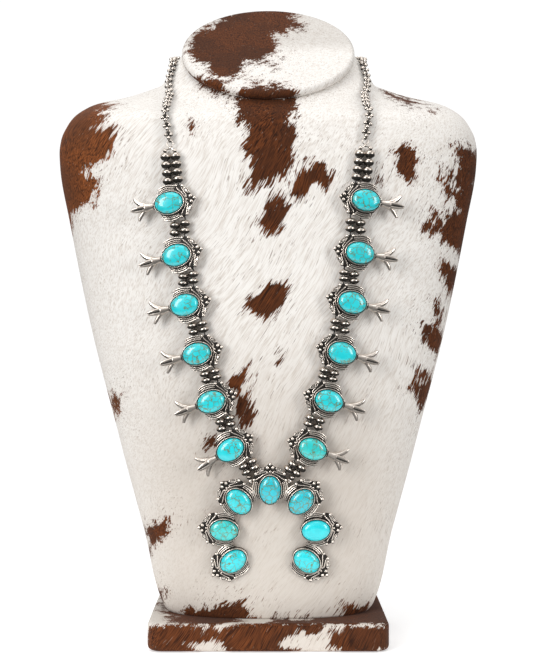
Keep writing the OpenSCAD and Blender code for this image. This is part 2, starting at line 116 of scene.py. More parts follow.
def polar(degrees, r=1.0):
    """Cosine and sine of an angle, or of a row of angles, times a radius."""
    a = np.radians(degrees)
    return r * np.cos(a), r * np.sin(a)


def turns(count):
    """Cosines and sines of even steps round a circle."""
    return polar(360 * np.arange(count) / count)


def at_height(flat, z):
    """Flat points at a height."""
    return np.column_stack([flat, np.full(len(flat), z)])


def grid_faces(rows, columns, round_again=False):
    """Quads between rings of points, and from the last ring to the first where round_again."""
    faces = []
    for row in range(rows if round_again else rows - 1):
        low, high = row * columns, (row + 1) % rows * columns
        for i in range(columns):
            j = (i + 1) % columns
            faces.append((low + i, low + j, high + j, high + i))
    return faces


def rings_solid(rings, first=None, last=None):
    """Closed solid through rings of points, ended by poles."""
    rings = np.asarray(rings, float)
    rows, columns = rings.shape[:2]
    first = rings[0].mean(0) if first is None else np.asarray(first, float)
    last = rings[-1].mean(0) if last is None else np.asarray(last, float)
    faces = grid_faces(rows, columns)
    for start, pole in ((0, rows * columns), ((rows - 1) * columns, rows * columns + 1)):
        faces += [(start + i, start + (i + 1) % columns, pole) for i in range(columns)]
    return np.concatenate([rings.reshape(-1, 3), first[None], last[None]]), faces


def sweep(path, radius, section):
    """Bar of a section along an open path, with its own radius at each point and tapered ends."""
    tangent = unit(np.gradient(path, axis=0))
    side = unit(np.cross(tangent, (0, 0, 1.0)))
    top = np.cross(side, tangent)
    spokes = section[None, :, 0, None] * side[:, None] + section[None, :, 1, None] * top[:, None]
    rings = path[:, None] + radius[:, None, None] * spokes
    reach = 0.6 * radius[[0, -1]]
    return rings_solid(rings, path[0] - reach[0] * tangent[0], path[-1] + reach[1] * tangent[-1])


def sphere(at, d, segments=18, rows=10):
    cos, sin = turns(segments)
    rings = []
    for a in np.pi * np.arange(1, rows) / rows:
        level = np.full(segments, -math.cos(a))
        rings.append(np.stack([math.sin(a) * cos, math.sin(a) * sin, level], axis=1))
    points, faces = rings_solid(np.array(rings) * d / 2, (0, 0, -d / 2), (0, 0, d / 2))
    return points + np.asarray(at, float), faces


def turned_rings(profile, segments, start, axis):
    """Rings turned round an axis from rows that start with the distance along it and the radius."""
    axis = unit(axis)
    helper = (0, 0, 1.0) if abs(axis[2]) < 0.9 else (1.0, 0, 0)
    u = unit(np.cross(axis, helper))
    cos, sin = turns(segments)
    wheel = cos[:, None] * u + sin[:, None] * np.cross(axis, u)
    return np.array([start + row[0] * axis + row[1] * wheel for row in profile])


def turned(profile, segments, start, axis, bored=False):
    """Solid turned from (distance along the axis, radius, black) rows, and its black values.

    A bored one is open along its axis, and its rows are a closed loop.
    """
    rings = turned_rings(profile, segments, start, axis)
    values = np.repeat([row[2] for row in profile], segments)
    if bored:
        return (rings.reshape(-1, 3), grid_faces(len(profile), segments, True)), values
    return rings_solid(rings), np.append(values, [1, 1])


def spline(knots, count):
    """Smooth curve through knots, at even steps of its knots."""
    knots = np.asarray(knots, float)
    t = np.linspace(0, len(knots) - 1, count)
    i = np.clip(t.astype(int), 0, len(knots) - 2)
    f = (t - i)[:, None] if knots.ndim > 1 else t - i
    a, b = knots[np.maximum(i - 1, 0)], knots[i]
    c, d = knots[i + 1], knots[np.minimum(i + 2, len(knots) - 1)]
    return 0.5 * (2 * b + (c - a) * f + (2 * a - 5 * b + 4 * c - d) * f ** 2
                  + (3 * b - a - 3 * c + d) * f ** 3)


# Materials
class Nodes:
    """A node tree, with short ways to add the usual nodes."""

    def __init__(self, tree):
        self.tree = tree
        tree.nodes.clear()

    def node(self, kind, **settings):
        made = self.tree.nodes.new(kind)
        for key, value in settings.items():
            setattr(made, key, value)
        return made

    def put(self, value, socket):
        """Give a socket a link, or a constant that it can hold."""
        if isinstance(value, bpy.types.NodeSocket):
            self.tree.links.new(value, socket)
        elif hasattr(socket, "default_value"):
            if socket.type == "RGBA" and len(value) == 3:
                value = (*value, 1.0)
            socket.default_value = value

    def math(self, operation, *values, clamp=False):
        made = self.node("ShaderNodeMath", operation=operation, use_clamp=clamp)
        for value, socket in zip(values, made.inputs):
            self.put(value, socket)
        return made.outputs[0]

    def plus(self, a, b):
        return self.math("ADD", a, b)

    def times(self, a, b):
        return self.math("MULTIPLY", a, b)

    def swing(self, noise, amount):
        """A noise's distance from its middle, times an amount."""
        return self.times(self.math("SUBTRACT", noise, 0.5), amount)

    def vector(self, operation, *values):
        made = self.node("ShaderNodeVectorMath", operation=operation)
        for value, socket in zip(values, made.inputs):
            self.put(value, socket)
        return made.outputs["Value" if operation in ("DOT_PRODUCT", "LENGTH") else "Vector"]

    def part(self, vector, axis):
        """One of a vector's three numbers: X, Y or Z."""
        made = self.node("ShaderNodeSeparateXYZ")
        self.put(vector, made.inputs[0])
        return made.outputs[axis]

    def step(self, value, low, high, to_low=0.0, to_high=1.0):
        """Smooth step from to_low at low to to_high at high."""
        made = self.node("ShaderNodeMapRange", interpolation_type="SMOOTHSTEP")
        for given, key in ((value, "Value"), (low, "From Min"), (high, "From Max"),
                           (to_low, "To Min"), (to_high, "To Max")):
            self.put(given, made.inputs[key])
        return made.outputs["Result"]

    def mix(self, factor, first, second, blend="MIX"):
        made = self.node("ShaderNodeMix", data_type="RGBA", blend_type=blend)
        self.put(factor, made.inputs["Factor"])
        self.put(first, made.inputs[6])
        self.put(second, made.inputs[7])
        return made.outputs[2]

    def noise(self, vector, scale, detail=3.0, roughness=0.55, output="Fac"):
        made = self.node("ShaderNodeTexNoise")
        for given, key in ((vector, "Vector"), (scale, "Scale"), (detail, "Detail"),
                           (roughness, "Roughness")):
            self.put(given, made.inputs[key])
        return made.outputs[output]


class Finish(Nodes):
    """A material with one principled shader."""

    def __init__(self, name):
        self.material = bpy.data.materials.new(name)
        self.material.use_nodes = True
        super().__init__(self.material.node_tree)
        output = self.node("ShaderNodeOutputMaterial")
        self.shader = self.node("ShaderNodeBsdfPrincipled")
        self.tree.links.new(self.shader.outputs[0], output.inputs["Surface"])

    def set(self, **values):
        """Set the shader's sockets, by their names with _ for a space."""
        for key, value in values.items():
            self.put(value, self.shader.inputs[key.replace("_", " ")])

    def attribute(self, name):
        return self.node("ShaderNodeAttribute", attribute_name=name).outputs["Fac"]

    def facing(self, axis):
        """How far the surface faces along one of the part's axes."""
        return self.part(self.node("ShaderNodeNewGeometry").outputs["Normal"], axis)

    def place(self, scale=1000.0, offset=(0, 0, 0)):
        """The surface's own place, in millimetres by default."""
        made = self.node("ShaderNodeMapping")
        self.put(self.node("ShaderNodeTexCoord").outputs["Object"], made.inputs["Vector"])
        made.inputs["Location"].default_value = offset
        made.inputs["Scale"].default_value = (scale,) * 3
        return made.outputs["Vector"]

    def bump(self, height, strength, distance):
        made = self.node("ShaderNodeBump")
        for given, key in ((strength, "Strength"), (distance * MM, "Distance"), (height, "Height")):
            self.put(given, made.inputs[key])
        return made.outputs["Normal"]


# Which way the hair lies on the bust, as seen from the front
HAIR_LEAN = math.radians(58)
HAIR_ALONG = (-math.cos(HAIR_LEAN), 0.12, -math.sin(HAIR_LEAN))
HAIR_ACROSS = (math.sin(HAIR_LEAN), 0.0, -math.cos(HAIR_LEAN))
# Colours of the white hair and of the painted shade between its strands, its locks and towards the lower
# middle, then of the brown coat and of the flecks and strays in them
STRAND_SHADE, HAIR_WHITE = (0.66, 0.61, 0.56), (0.84, 0.815, 0.78)
LOCK_SHADE, PAINTED_LOW_SHADE = (0.62, 0.56, 0.50), (0.47, 0.415, 0.36)
COAT_DARK, COAT_LIGHT = (0.020, 0.0055, 0.0015), (0.135, 0.038, 0.010)
COAT_LOCK, COAT_CLOUD = (0.095, 0.027, 0.007), (0.04, 0.014, 0.006)
FLECK, STRAY = (0.16, 0.085, 0.055), (0.50, 0.42, 0.35)
# Painted shade that darkens the cap's white, and how much lighter the brown of the left shoulder is made
# by painted light
CAP_PAINTED_SHADE, SHOULDER_PAINTED_LIGHT = (0.78, 0.77, 0.76), (1.90, 2.00, 2.10)


def hide_material():
    """Short white hair that lies down to the left, with brown patches of ragged edges."""
    g = Finish("cowhide")
    at = g.place()
    along = g.vector("DOT_PRODUCT", at, HAIR_ALONG)
    across = g.plus(g.vector("DOT_PRODUCT", at, HAIR_ACROSS), g.swing(g.noise(at, 0.012, 2.0), 26.0))
    depth, side, level = g.part(at, "Y"), g.part(at, "X"), g.part(at, "Z")

    def strands(width, length, detail):
        """Noise drawn out along the hair, for strands of this width and length."""
        made = g.node("ShaderNodeCombineXYZ")
        for value, size, socket in zip((across, depth, along), (width, width, length), made.inputs):
            g.put(g.math("DIVIDE", value, size), socket)
        return g.noise(made.outputs[0], 1.0, detail)

    tufts, locks = strands(5.0, 17.0, 2.0), strands(2.0, 11.0, 3.0)
    hairs, specks = strands(0.62, 10.0, 2.0), strands(0.65, 7.0, 1.0)

    # A patch's edge wanders by these distances, and by more at the sides and the back
    patch = g.attribute("patch")
    edge = g.plus(patch, g.times(g.math("MAXIMUM", patch, 0.0), 0.8))
    for strand, reach in ((tufts, 15.0), (locks, 13.0), (hairs, 17.0)):
        edge = g.plus(edge, g.swing(strand, reach))
    more = g.step(g.facing("Y"), -0.55, 0.05, 0.0, 62.0)
    brown = g.step(g.plus(edge, g.swing(g.noise(at, 0.035), more)), -1.0, 1.0)

    # Painted shade between the hair's strands and locks
    white = g.mix(g.step(hairs, 0.30, 0.56), STRAND_SHADE, HAIR_WHITE)
    white = g.mix(g.times(g.step(locks, 0.52, 0.34), 0.30), white, LOCK_SHADE)
    # Painted shade that greys the white towards the lower middle of the chest
    shaded_low_middle = g.times(g.step(level, 215.0, 90.0), g.step(g.math("ABSOLUTE", side), 105.0, 45.0))
    white = g.mix(g.times(shaded_low_middle, 0.72), white, PAINTED_LOW_SHADE)
    # Painted shade that darkens the cap's white
    white = g.mix(g.step(level, 346.0, 358.0), white, CAP_PAINTED_SHADE, "MULTIPLY")
    fleck = g.times(g.step(specks, 0.64, 0.70), g.step(g.noise(at, 0.05, 2.0), 0.40, 0.58))
    near = g.step(patch, -18.0, -4.0, 0.45, 1.0)
    white = g.mix(g.times(g.times(fleck, near), 0.8), white, FLECK)

    coat = g.mix(g.step(hairs, 0.38, 0.62), COAT_DARK, COAT_LIGHT)
    coat = g.mix(g.times(g.step(locks, 0.40, 0.62), 0.55), coat, COAT_LOCK)
    coat = g.mix(g.times(g.step(g.noise(at, 0.045), 0.42, 0.60), 0.5), coat, COAT_CLOUD)
    # Painted light that makes the brown of the left shoulder lighter
    coat = g.mix(g.step(side, -62.0, -100.0), coat, SHOULDER_PAINTED_LIGHT, "MULTIPLY")
    coat = g.mix(g.times(g.step(strands(0.8, 8.0, 1.0), 0.72, 0.78), 0.28), coat, STRAY)

    height = g.plus(g.times(hairs, 0.6), g.times(locks, 0.8))
    g.set(Base_Color=g.mix(brown, white, coat), Roughness=0.75, Normal=g.bump(height, 0.32, 0.30),
          Sheen_Weight=0.04, Specular_IOR_Level=0.12)
    return g.material


# Bright and dull silver, and the black of its patina in recesses and of its painted shade
BRIGHT, DULL, TARNISH_AND_SHADE = (0.84, 0.76, 0.685), (0.36, 0.32, 0.28), (0.022, 0.019, 0.016)


def silver_material(name, bright=BRIGHT, under=0.85, falls=(-0.15, -0.55), rise=None, rough=0.26,
                    crevice=0.0, tone=0.0):
    """Silver that is black with patina in its recesses, and with painted shade underneath.

    The value "dark" of each point gives the black of the recesses, and of the bead necks and
    link cores that stand in for shade. under is how black the painted shade on the faces
    that look down is: that black comes on as the normal's upward part goes through falls,
    and fades again through rise, a painted light on the faces that look straight down.
    crevice is how far the black of narrow gaps reaches, and tone is the share of dull grey.
    """
    g = Finish(name)
    at = g.place()
    patina = g.noise(at, 0.9)
    up = g.facing("Z")
    # Painted shade on the faces that look down, lighter again on those that look straight down
    dark = g.step(up, falls[0], falls[1], 0.0, under)
    if rise:
        dark = g.times(dark, g.step(up, rise[1], rise[0], 0.25, 1.0))
    given = g.plus(g.attribute("dark"), g.swing(patina, 0.5))
    dark = g.math("MAXIMUM", dark, g.step(given, 0.30, 0.72))
    if crevice:
        shut = g.node("ShaderNodeAmbientOcclusion", samples=6)
        g.put(crevice * MM, shut.inputs["Distance"])
        open_share = g.plus(shut.outputs["AO"], g.swing(patina, 0.35))
        dark = g.math("MAXIMUM", dark, g.step(open_share, 0.78, 0.38))
    dull = g.math("ADD", g.times(g.step(patina, 0.45, 0.75), 0.30), tone, clamp=True)
    g.set(Base_Color=g.mix(dark, g.mix(dull, bright, DULL), TARNISH_AND_SHADE),
          Metallic=g.step(dark, 0.0, 1.0, 1.0, 0.55), Roughness=g.step(dark, 0.0, 1.0, rough, 0.5),
          Normal=g.bump(g.noise(at, 3.2, 2.0), 0.25, 0.06))
    return g.material


# Colours beside and in the veins of a stone, of its blots and of its edge in the bezel
VEIN_HALO, VEIN = (0.03, 0.42, 0.42), (0.14, 0.17, 0.06)
BLOT, STONE_EDGE = (0.22, 0.36, 0.16), (0.004, 0.05, 0.055)
# How much lighter the pale clouds of a stone are than its tint
PALER = (2.2, 1.10, 1.08)
WIDE_NET, FINE_NET = 0.27, 0.46


def turquoise_material(name, seed, veins, tint):
    """Polished stone with a net of brown veins. veins is 0 for a plain stone."""
    rng = np.random.default_rng(seed)
    g = Finish(name)
    at = g.place(offset=tuple(rng.uniform(-400, 400, 3)))
    shift = g.vector("SUBTRACT", g.noise(at, 0.32, 3.0, 0.5, "Color"), (0.5, 0.5, 0.5))
    bent = g.vector("ADD", at, g.vector("MULTIPLY", shift, (4.2, 4.2, 4.2)))

    def cracks(scale, width, keep_scale, keep_low, keep_high):
        """Lines between the cells of a net, kept where a noise is high."""
        net = g.node("ShaderNodeTexVoronoi", feature="DISTANCE_TO_EDGE")
        g.put(bent, net.inputs["Vector"])
        g.put(scale, net.inputs["Scale"])
        line = g.step(net.outputs["Distance"], width, width * 0.45)
        return g.times(line, g.step(g.noise(at, keep_scale, 2.0), keep_low, keep_high))

    light = tuple(min(1.0, c * k) for c, k in zip(tint, PALER))
    base = g.mix(g.step(g.noise(at, 0.22), 0.35, 0.68), tint, light)
    if veins > 0:
        low = 0.66 - 0.42 * veins
        fine = g.times(cracks(FINE_NET, 0.045, 0.20, low + 0.14, low + 0.20), 0.6)
        net = g.math("MAXIMUM", cracks(WIDE_NET, 0.050, 0.14, low, low + 0.07), fine)
        halo = cracks(WIDE_NET, 0.12, 0.14, low, low + 0.12)
        base = g.mix(g.times(halo, 0.25), base, VEIN_HALO)
        base = g.mix(g.times(net, 0.90), base, VEIN)
    blot = g.times(g.step(g.noise(at, 0.9, 2.0), 0.70, 0.78), 0.5 * min(1.0, veins + 0.2))
    base = g.mix(blot, base, BLOT)
    base = g.mix(g.times(g.attribute("rim"), 0.9), base, STONE_EDGE)
    g.set(Base_Color=base, Roughness=0.32, Normal=g.bump(g.noise(at, 1.4, 2.0), 0.04, 0.05),
          Coat_Weight=0.9, Coat_Roughness=0.13, Specular_IOR_Level=0.5)
    return g.material


def thread_material():
    """Black waxed thread, lighter where it twists."""
    g = Finish("waxed_thread")
    twist = g.noise(g.place(), 4.0, 2.0)
    g.set(Base_Color=g.mix(twist, (0.012, 0.010, 0.009), (0.05, 0.043, 0.038)), Roughness=0.6,
          Normal=g.bump(twist, 0.5, 0.1))
    return g.material


make_camera()
HIDE = hide_material()
THREAD = thread_material()
# Every silver gets a painted shade on the faces that look down, the beads the blackest
SILVER = silver_material("silver_work")
CHAIN = silver_material("silver_chain", crevice=0.8, under=0.95, falls=(0.05, -0.45), tone=0.05)
BEAD = silver_material("silver_beads", bright=(0.74, 0.655, 0.58), under=1.0, falls=(0.16, -0.18),
                       rough=0.24, tone=0.14)
FLOWER = silver_material("silver_flowers", under=0.80, falls=(0.0, -0.34), rise=(-0.50, -0.80),
                         rough=0.28, tone=0.12)

# The bust. The same values as the solids': board, torso, neck and cap
BASE = {"w": 138.0, "d": 94.0, "h": 16.0, "corner": 9.0, "edge": 2.5}
TORSO_W, TORSO_D, TORSO_H = 252.0, 86.0, 331.0
NECK_W, NECK_BACK, NECK_TILT = 102.0, 5.0, math.radians(40)
CAP_T, CAP_OVER, CAP_EDGE, REST_GAP = 6.0, 1.0, 2.6, 0.1
# How far the hide lies inside the torso's solid, and how much the cap is crowned
HIDE_INSET, CAP_CROWN = 0.15, 0.35
# Height share, half width share, front, widest line and back shares, tilt share, squareness
SECTIONS = np.array([
    [0.0000, 0.480, -0.395, 0.000, 0.326, 0.000, 2.45],
    [0.0090, 0.499, -0.400, 0.002, 0.330, 0.000, 2.45],
    [0.1405, 0.590, -0.453, 0.023, 0.349, 0.000, 2.45],
    [0.2720, 0.685, -0.492, 0.038, 0.363, 0.000, 2.45],
    [0.3300, 0.725, -0.510, 0.047, 0.372, 0.000, 2.45],
    [0.5015, 0.842, -0.546, 0.064, 0.390, 0.000, 2.45],
    [0.6980, 0.950, -0.558, 0.088, 0.415, 0.000, 2.45],
    [0.7945, 0.996, -0.545, 0.093, 0.430, 0.000, 2.45],
    [0.8235, 1.000, -0.533, 0.093, 0.436, 0.000, 2.45],
    [0.8490, 0.991, -0.520, 0.093, 0.440, 0.063, 2.45],
    [0.8728, 0.964, -0.510, 0.093, 0.445, 0.144, 2.45],
    [0.8910, 0.931, -0.500, 0.093, 0.450, 0.224, 2.45],
    [0.9066, 0.873, -0.487, 0.091, 0.455, 0.295, 2.42],
    [0.9140, 0.821, -0.477, 0.090, 0.459, 0.326, 2.40],
    [0.9200, 0.739, -0.467, 0.088, 0.463, 0.355, 2.36],
    [0.9250, 0.676, -0.458, 0.086, 0.467, 0.380, 2.32],
    [0.9330, 0.600, -0.447, 0.083, 0.473, 0.430, 2.26],
    [0.9440, 0.518, -0.434, 0.079, 0.481, 0.507, 2.18],
    [0.9605, 0.490, -0.418, 0.072, 0.492, 0.640, 2.10],
])

# Brown patches of the hide as they are seen from the front, in the picture's pixels
PATCHES = [
    # left shoulder
    [(113, 101), (116, 104), (109, 109), (98, 113), (104, 116), (100, 122), (93, 129), (104, 128),
     (115, 125), (113, 136), (111, 149), (104, 160), (91, 166), (84, 173), (89, 177), (100, 179),
     (95, 191), (93, 201), (82, 207), (71, 213), (68, 224), (50, 215), (45, 150), (55, 118),
     (75, 103), (97, 96)],
    # cap
    [(214, 21), (235, 11), (260, 8), (283, 9), (302, 14), (291, 17), (296, 20), (304, 24), (304, 30),
     (290, 27), (283, 33), (272, 34), (278, 42), (274, 49), (280, 54), (268, 57), (263, 61),
     (254, 62), (244, 60), (242, 72), (232, 80), (218, 76), (209, 72), (208, 65), (194, 62),
     (189, 51), (192, 36), (203, 28), (213, 27)],
    [(197, 78), (208, 78), (219, 78), (226, 85), (231, 98), (218, 94), (203, 87)],
    [(235, 92), (247, 90), (253, 84), (261, 83), (267, 88), (274, 83), (286, 86), (295, 92),
     (293, 99), (279, 104), (260, 104), (239, 101)],
    [(270, 63), (276, 65), (275, 68), (269, 66)],
    # neck, its tail and the paler patch beside it
    [(234, 95), (298, 95), (294, 112), (286, 122), (296, 132), (295, 143), (293, 156), (288, 168),
     (280, 170), (276, 180), (272, 183), (263, 182), (255, 187), (249, 193), (249, 180), (252, 168),
     (254, 156), (241, 150), (248, 135), (251, 124), (240, 124), (238, 113)],
    [(272, 190), (279, 192), (284, 202), (285, 218), (280, 231), (272, 239), (265, 231), (259, 223),
     (265, 209), (267, 199)],
    [(310, 160), (328, 161), (330, 179), (328, 188), (312, 183), (307, 194), (300, 203), (291, 195),
     (296, 178), (308, 170)],
    # right shoulder and side
    [(383, 90), (396, 95), (414, 100), (426, 104), (418, 105), (404, 102), (392, 98)],
    [(424, 106), (432, 109), (431, 111)],
    [(401, 142), (413, 149), (419, 158), (417, 171), (413, 180), (405, 180), (398, 172), (396, 160),
     (397, 149)],
    [(454, 144), (460, 146), (474, 151), (486, 165), (474, 184), (480, 210), (470, 235), (461, 259),
     (455, 249), (446, 243), (440, 233), (436, 232), (429, 235), (423, 228), (425, 219), (432, 223),
     (430, 205), (439, 210), (444, 222), (450, 212), (458, 210), (453, 198), (444, 193), (442, 181),
     (450, 187), (460, 190), (450, 177), (442, 164), (450, 168), (458, 176), (460, 169), (458, 155)],
    [(379, 170), (381, 178), (379, 182), (377, 176)],
    [(441, 260), (448, 263), (457, 268), (463, 277), (452, 294), (445, 287), (441, 275), (439, 268)],
    [(433, 299), (440, 308), (443, 314), (440, 325), (435, 311)],
    [(422, 321), (430, 323), (441, 332), (446, 340), (438, 356), (429, 351), (424, 340)],
    [(419, 368), (429, 373), (435, 386), (422, 419), (418, 401), (412, 390), (416, 382), (424, 383)],
    # chest
    [(262, 279), (270, 283), (284, 283), (283, 300), (276, 312), (266, 321), (255, 317), (243, 306),
     (246, 297), (258, 292)],
    [(249, 359), (248, 381), (242, 396), (253, 406), (255, 416), (248, 428), (241, 430), (236, 418),
     (235, 401), (232, 389), (228, 383), (236, 374), (242, 371)],
    [(281, 355), (280, 362), (276, 366), (278, 359)],
    [(204, 440), (212, 437), (223, 440), (214, 446)],
    [(190, 120), (195, 124), (192, 132), (187, 128)],
    # left side and foot
    [(109, 400), (114, 392), (122, 398), (119, 410), (112, 419)],
    [(145, 527), (166, 519), (167, 533), (157, 540), (150, 551), (147, 537)],
    [(168, 619), (182, 616), (186, 610), (213, 608), (231, 604), (241, 603), (250, 611), (253, 624),
     (180, 624)],
    [(342, 609), (347, 603), (368, 603), (368, 615), (363, 624), (342, 624)],
    # base board
    [(145, 624), (197, 626), (201, 633), (192, 639), (183, 645), (200, 651), (200, 660), (145, 660)],
    [(213, 638), (222, 627), (232, 623), (260, 620), (304, 621), (331, 623), (326, 630), (317, 635),
     (308, 635), (303, 632), (297, 634), (290, 639), (280, 644), (301, 649), (301, 660), (232, 660),
     (225, 650), (220, 641)],
    [(343, 626), (373, 625), (379, 632), (375, 639), (365, 641), (373, 644), (378, 651), (378, 660),
     (344, 660), (338, 648), (330, 642), (336, 637), (343, 630)],
    [(149, 596), (156, 590), (163, 589), (163, 600), (152, 603), (146, 612), (143, 606)],
]
# Brown patches of the back as capsules: x and z of both ends, and the radius
BACK_PATCHES = [
    (70, 300, 95, 262, 17), (95, 262, 60, 238, 12), (-20, 250, 8, 205, 15), (8, 205, -22, 176, 10),
    (-92, 230, -84, 190, 13), (28, 130, 52, 96, 14), (-38, 92, -30, 60, 12), (-60, 318, -40, 322, 8),
    (-10, 330, 22, 318, 10), (40, 6, 66, 8, 12), (-52, 8, -30, 10, 11),
]
# Millimetres that a pixel spans at the chest, and the limits of a patch's value
PIXEL, OUTSIDE, INSIDE = 0.567, -20.0, 12.0
# What a patch's value loses for each millimetre round the bust's side, and up to how many
TURN_LOSS, TURN_REACH = 0.9, 30.0


def line_distance(points, p, q):
    """Distance of flat points to the straight line from p to q."""
    along, rest = q - p, points - p
    t = np.clip(rest @ along / (along @ along), 0, 1)
    return np.hypot(*(rest - t[:, None] * along).T)


def outline_distance(points, outline):
    """Distance to a closed outline, positive inside it."""
    outline = np.array(outline, float)
    least = np.full(len(points), np.inf)
    inside = np.zeros(len(points), bool)
    for p, q in zip(outline, np.roll(outline, -1, axis=0)):
        least = np.minimum(least, line_distance(points, p, q))
        if p[1] != q[1]:
            crosses = (p[1] <= points[:, 1]) != (q[1] <= points[:, 1])
            at = p[0] + (points[:, 1] - p[1]) * (q[0] - p[0]) / (q[1] - p[1])
            inside ^= crosses & (points[:, 0] < at)
    return np.where(inside, least, -least)


def patch_value(points, middle):
    """How deep in a brown patch each point is, in millimetres, less than 0 outside.

    middle is the depth where the bust turns from its front to its back.
    """
    seen, flat = picture_place(points), points[:, [0, 2]]
    front, back = np.full((2, len(points)), OUTSIDE)
    for outline in PATCHES:
        front = np.maximum(front, outline_distance(seen, outline) * PIXEL)
    for x0, z0, x1, z1, r in BACK_PATCHES:
        away = line_distance(flat, np.array([x0, z0]), np.array([x1, z1]))
        back = np.maximum(back, r - away)
    behind = points[:, 1] - middle
    front = front - TURN_LOSS * np.clip(behind, 0, TURN_REACH)
    back = back - TURN_LOSS * np.clip(-behind, 0, TURN_REACH)
    return np.clip(np.maximum(front, back), OUTSIDE, INSIDE)


def finish_piece(made, node):
    """Put a piece on the body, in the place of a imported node."""
    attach(made, "root")
    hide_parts(node)


def lay_hide(name, part, middle, node):
    """A part of the bust under its hide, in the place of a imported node."""
    shape = Shape()
    shape.add(part, patch_value(part[0], middle))
    finish_piece(shape.object(name, [HIDE], "patch"), node)


# Height of a step between the torso's rings, the fewest steps between two sections, and
# the points round the torso and the cap
ROW_STEP, LEAST_STEPS, TORSO_ROUND, CAP_ROUND = 2.6, 3, 220, 180
# Depths where the cap and the board turn from front to back. All of the cap is front
CAP_TURN, BASE_TURN = 60.0, -40.0
# Radii of the cap's rings underneath, and shares of the size for the board's
CAP_UNDER, BASE_UNDER = (6.0, 20.0, 34.0, 44.0), (0.1, 0.5, 0.97)


def torso_sections():
    """Sections in millimetres: height, half width, front, widest line, back, tilt, squareness."""
    rows = SECTIONS * (TORSO_H, TORSO_W / 2, TORSO_D, TORSO_D, TORSO_D, 1, 1)
    rows[:, 0] += BASE["h"]
    rows[0, 0] += REST_GAP
    half = NECK_W / 2 * math.cos(NECK_TILT)
    neck = [BASE["h"] + TORSO_H, NECK_W / 2, NECK_BACK - half, NECK_BACK, NECK_BACK + half, 1, 2]
    return np.concatenate([rows, [neck]])


def dense_rows(rows):
    """More rows on a smooth line through the given ones, without overshoot."""
    z, values = rows[:, 0], rows[:, 1:]
    widths = np.diff(z)
    slopes = np.diff(values, axis=0) / widths[:, None]
    knots = np.zeros_like(values)
    knots[0], knots[-1] = slopes[0], slopes[-1]
    for i in range(1, len(rows) - 1):
        a, b = slopes[i - 1], slopes[i]
        w1, w2 = 2 * widths[i] + widths[i - 1], widths[i] + 2 * widths[i - 1]
        with np.errstate(divide="ignore", invalid="ignore"):
            mean = (w1 + w2) / (w1 / a + w2 / b)
        knots[i] = np.where(a * b > 0, mean, 0)
    out = []
    for i, width in enumerate(widths):
        count = max(LEAST_STEPS, math.ceil(width / ROW_STEP))
        for t in np.arange(count) / count:
            rise = t ** 2 * (3 - 2 * t)
            bend = width * t * (1 - t) * ((1 - t) * knots[i] - t * knots[i + 1])
            value = (1 - rise) * values[i] + rise * values[i + 1] + bend
            out.append(np.concatenate([[z[i] + t * width], value]))
    return np.array(out + [rows[-1]])


def torso():
    """Torso and neck through rings that are rounder or squarer by their section."""
    rows = dense_rows(torso_sections())
    c, s = turns(TORSO_ROUND)
    rings = []
    for z, half, front, middle, back, tilt, squareness in rows:
        depth = np.where(c > 0, middle - front, back - middle) - HIDE_INSET
        x = (half - HIDE_INSET) * np.sign(s) * np.abs(s) ** (2 / squareness)
        y = middle - depth * np.sign(c) * np.abs(c) ** (2 / squareness)
        rings.append(np.stack([x, y, z + tilt * math.tan(NECK_TILT) * (y - NECK_BACK)], axis=1))
    middle = np.append(np.repeat(rows[:, 3], TORSO_ROUND), [0, NECK_BACK])
    lay_hide("hide_torso", rings_solid(rings), middle, "bust_torso")


def edge_arc(start, stop, count, r):
    """Steps (out, up) round an edge, from the arc's middle."""
    return zip(*polar(np.linspace(start, stop, count), r))


def cap():
    """Padded cap on the slanted neck, slightly crowned."""
    r = NECK_W / 2 + CAP_OVER - CAP_EDGE
    top = CAP_T - CAP_EDGE - CAP_CROWN
    profile = [(0.0, reach) for reach in (*CAP_UNDER, r)]
    profile += [(CAP_EDGE + up, r + out) for out, up in edge_arc(-80, 0, 6, CAP_EDGE)]
    profile += [(top + up, r + out) for out, up in edge_arc(0, 90, 7, CAP_EDGE)]
    profile += [(CAP_T - CAP_CROWN * s ** 2, r * s) for s in np.linspace(0.97, 0.03, 26)]
    axis = np.array([0, -math.sin(NECK_TILT), math.cos(NECK_TILT)])
    at = np.array([0, NECK_BACK, BASE["h"] + TORSO_H]) + REST_GAP * axis
    part = rings_solid(turned_rings(profile, CAP_ROUND, at, axis))
    lay_hide("hide_cap", part, CAP_TURN, "bust_cap")


def rounded_rectangle(w, d, r, corner=14, along=26):
    """Outline with points round its corners and steps along its sides."""
    corners = []
    for k, (x, y) in enumerate(((1, 1), (-1, 1), (-1, -1), (1, -1))):
        c, s = polar(np.linspace(90 * k, 90 * k + 90, corner), r)
        corners.append(np.stack([x * (w / 2 - r) + c, y * (d / 2 - r) + s], axis=1))
    points = []
    for here, following in zip(corners, corners[1:] + corners[:1]):
        points += [here, np.linspace(here[-1], following[0], along + 1)[1:-1]]
    return np.concatenate(points)


def base():
    """Board with rounded corners and edges. Its levels are (inset, height, share)."""
    h, edge = BASE["h"], BASE["edge"]
    levels = [(edge, 0.0, share) for share in BASE_UNDER]
    levels += [(edge - out, edge + up, 1.0) for out, up in edge_arc(-90, 0, 6, edge)]
    levels += [(0.0, z, 1.0) for z in np.linspace(edge, h - edge, 7)[1:-1]]
    levels += [(edge - out, h - edge + up, 1.0) for out, up in edge_arc(0, 90, 7, edge)]
    levels += [(edge, h, share) for share in np.linspace(0.96, 0.06, 16)]
    rings = []
    for inset, z, share in levels:
        flat = rounded_rectangle(BASE["w"] - 2 * inset, BASE["d"] - 2 * inset, BASE["corner"] - inset)
        rings.append(at_height(flat * share, z))
    lay_hide("hide_base", rings_solid(rings), BASE_TURN, "base_board")


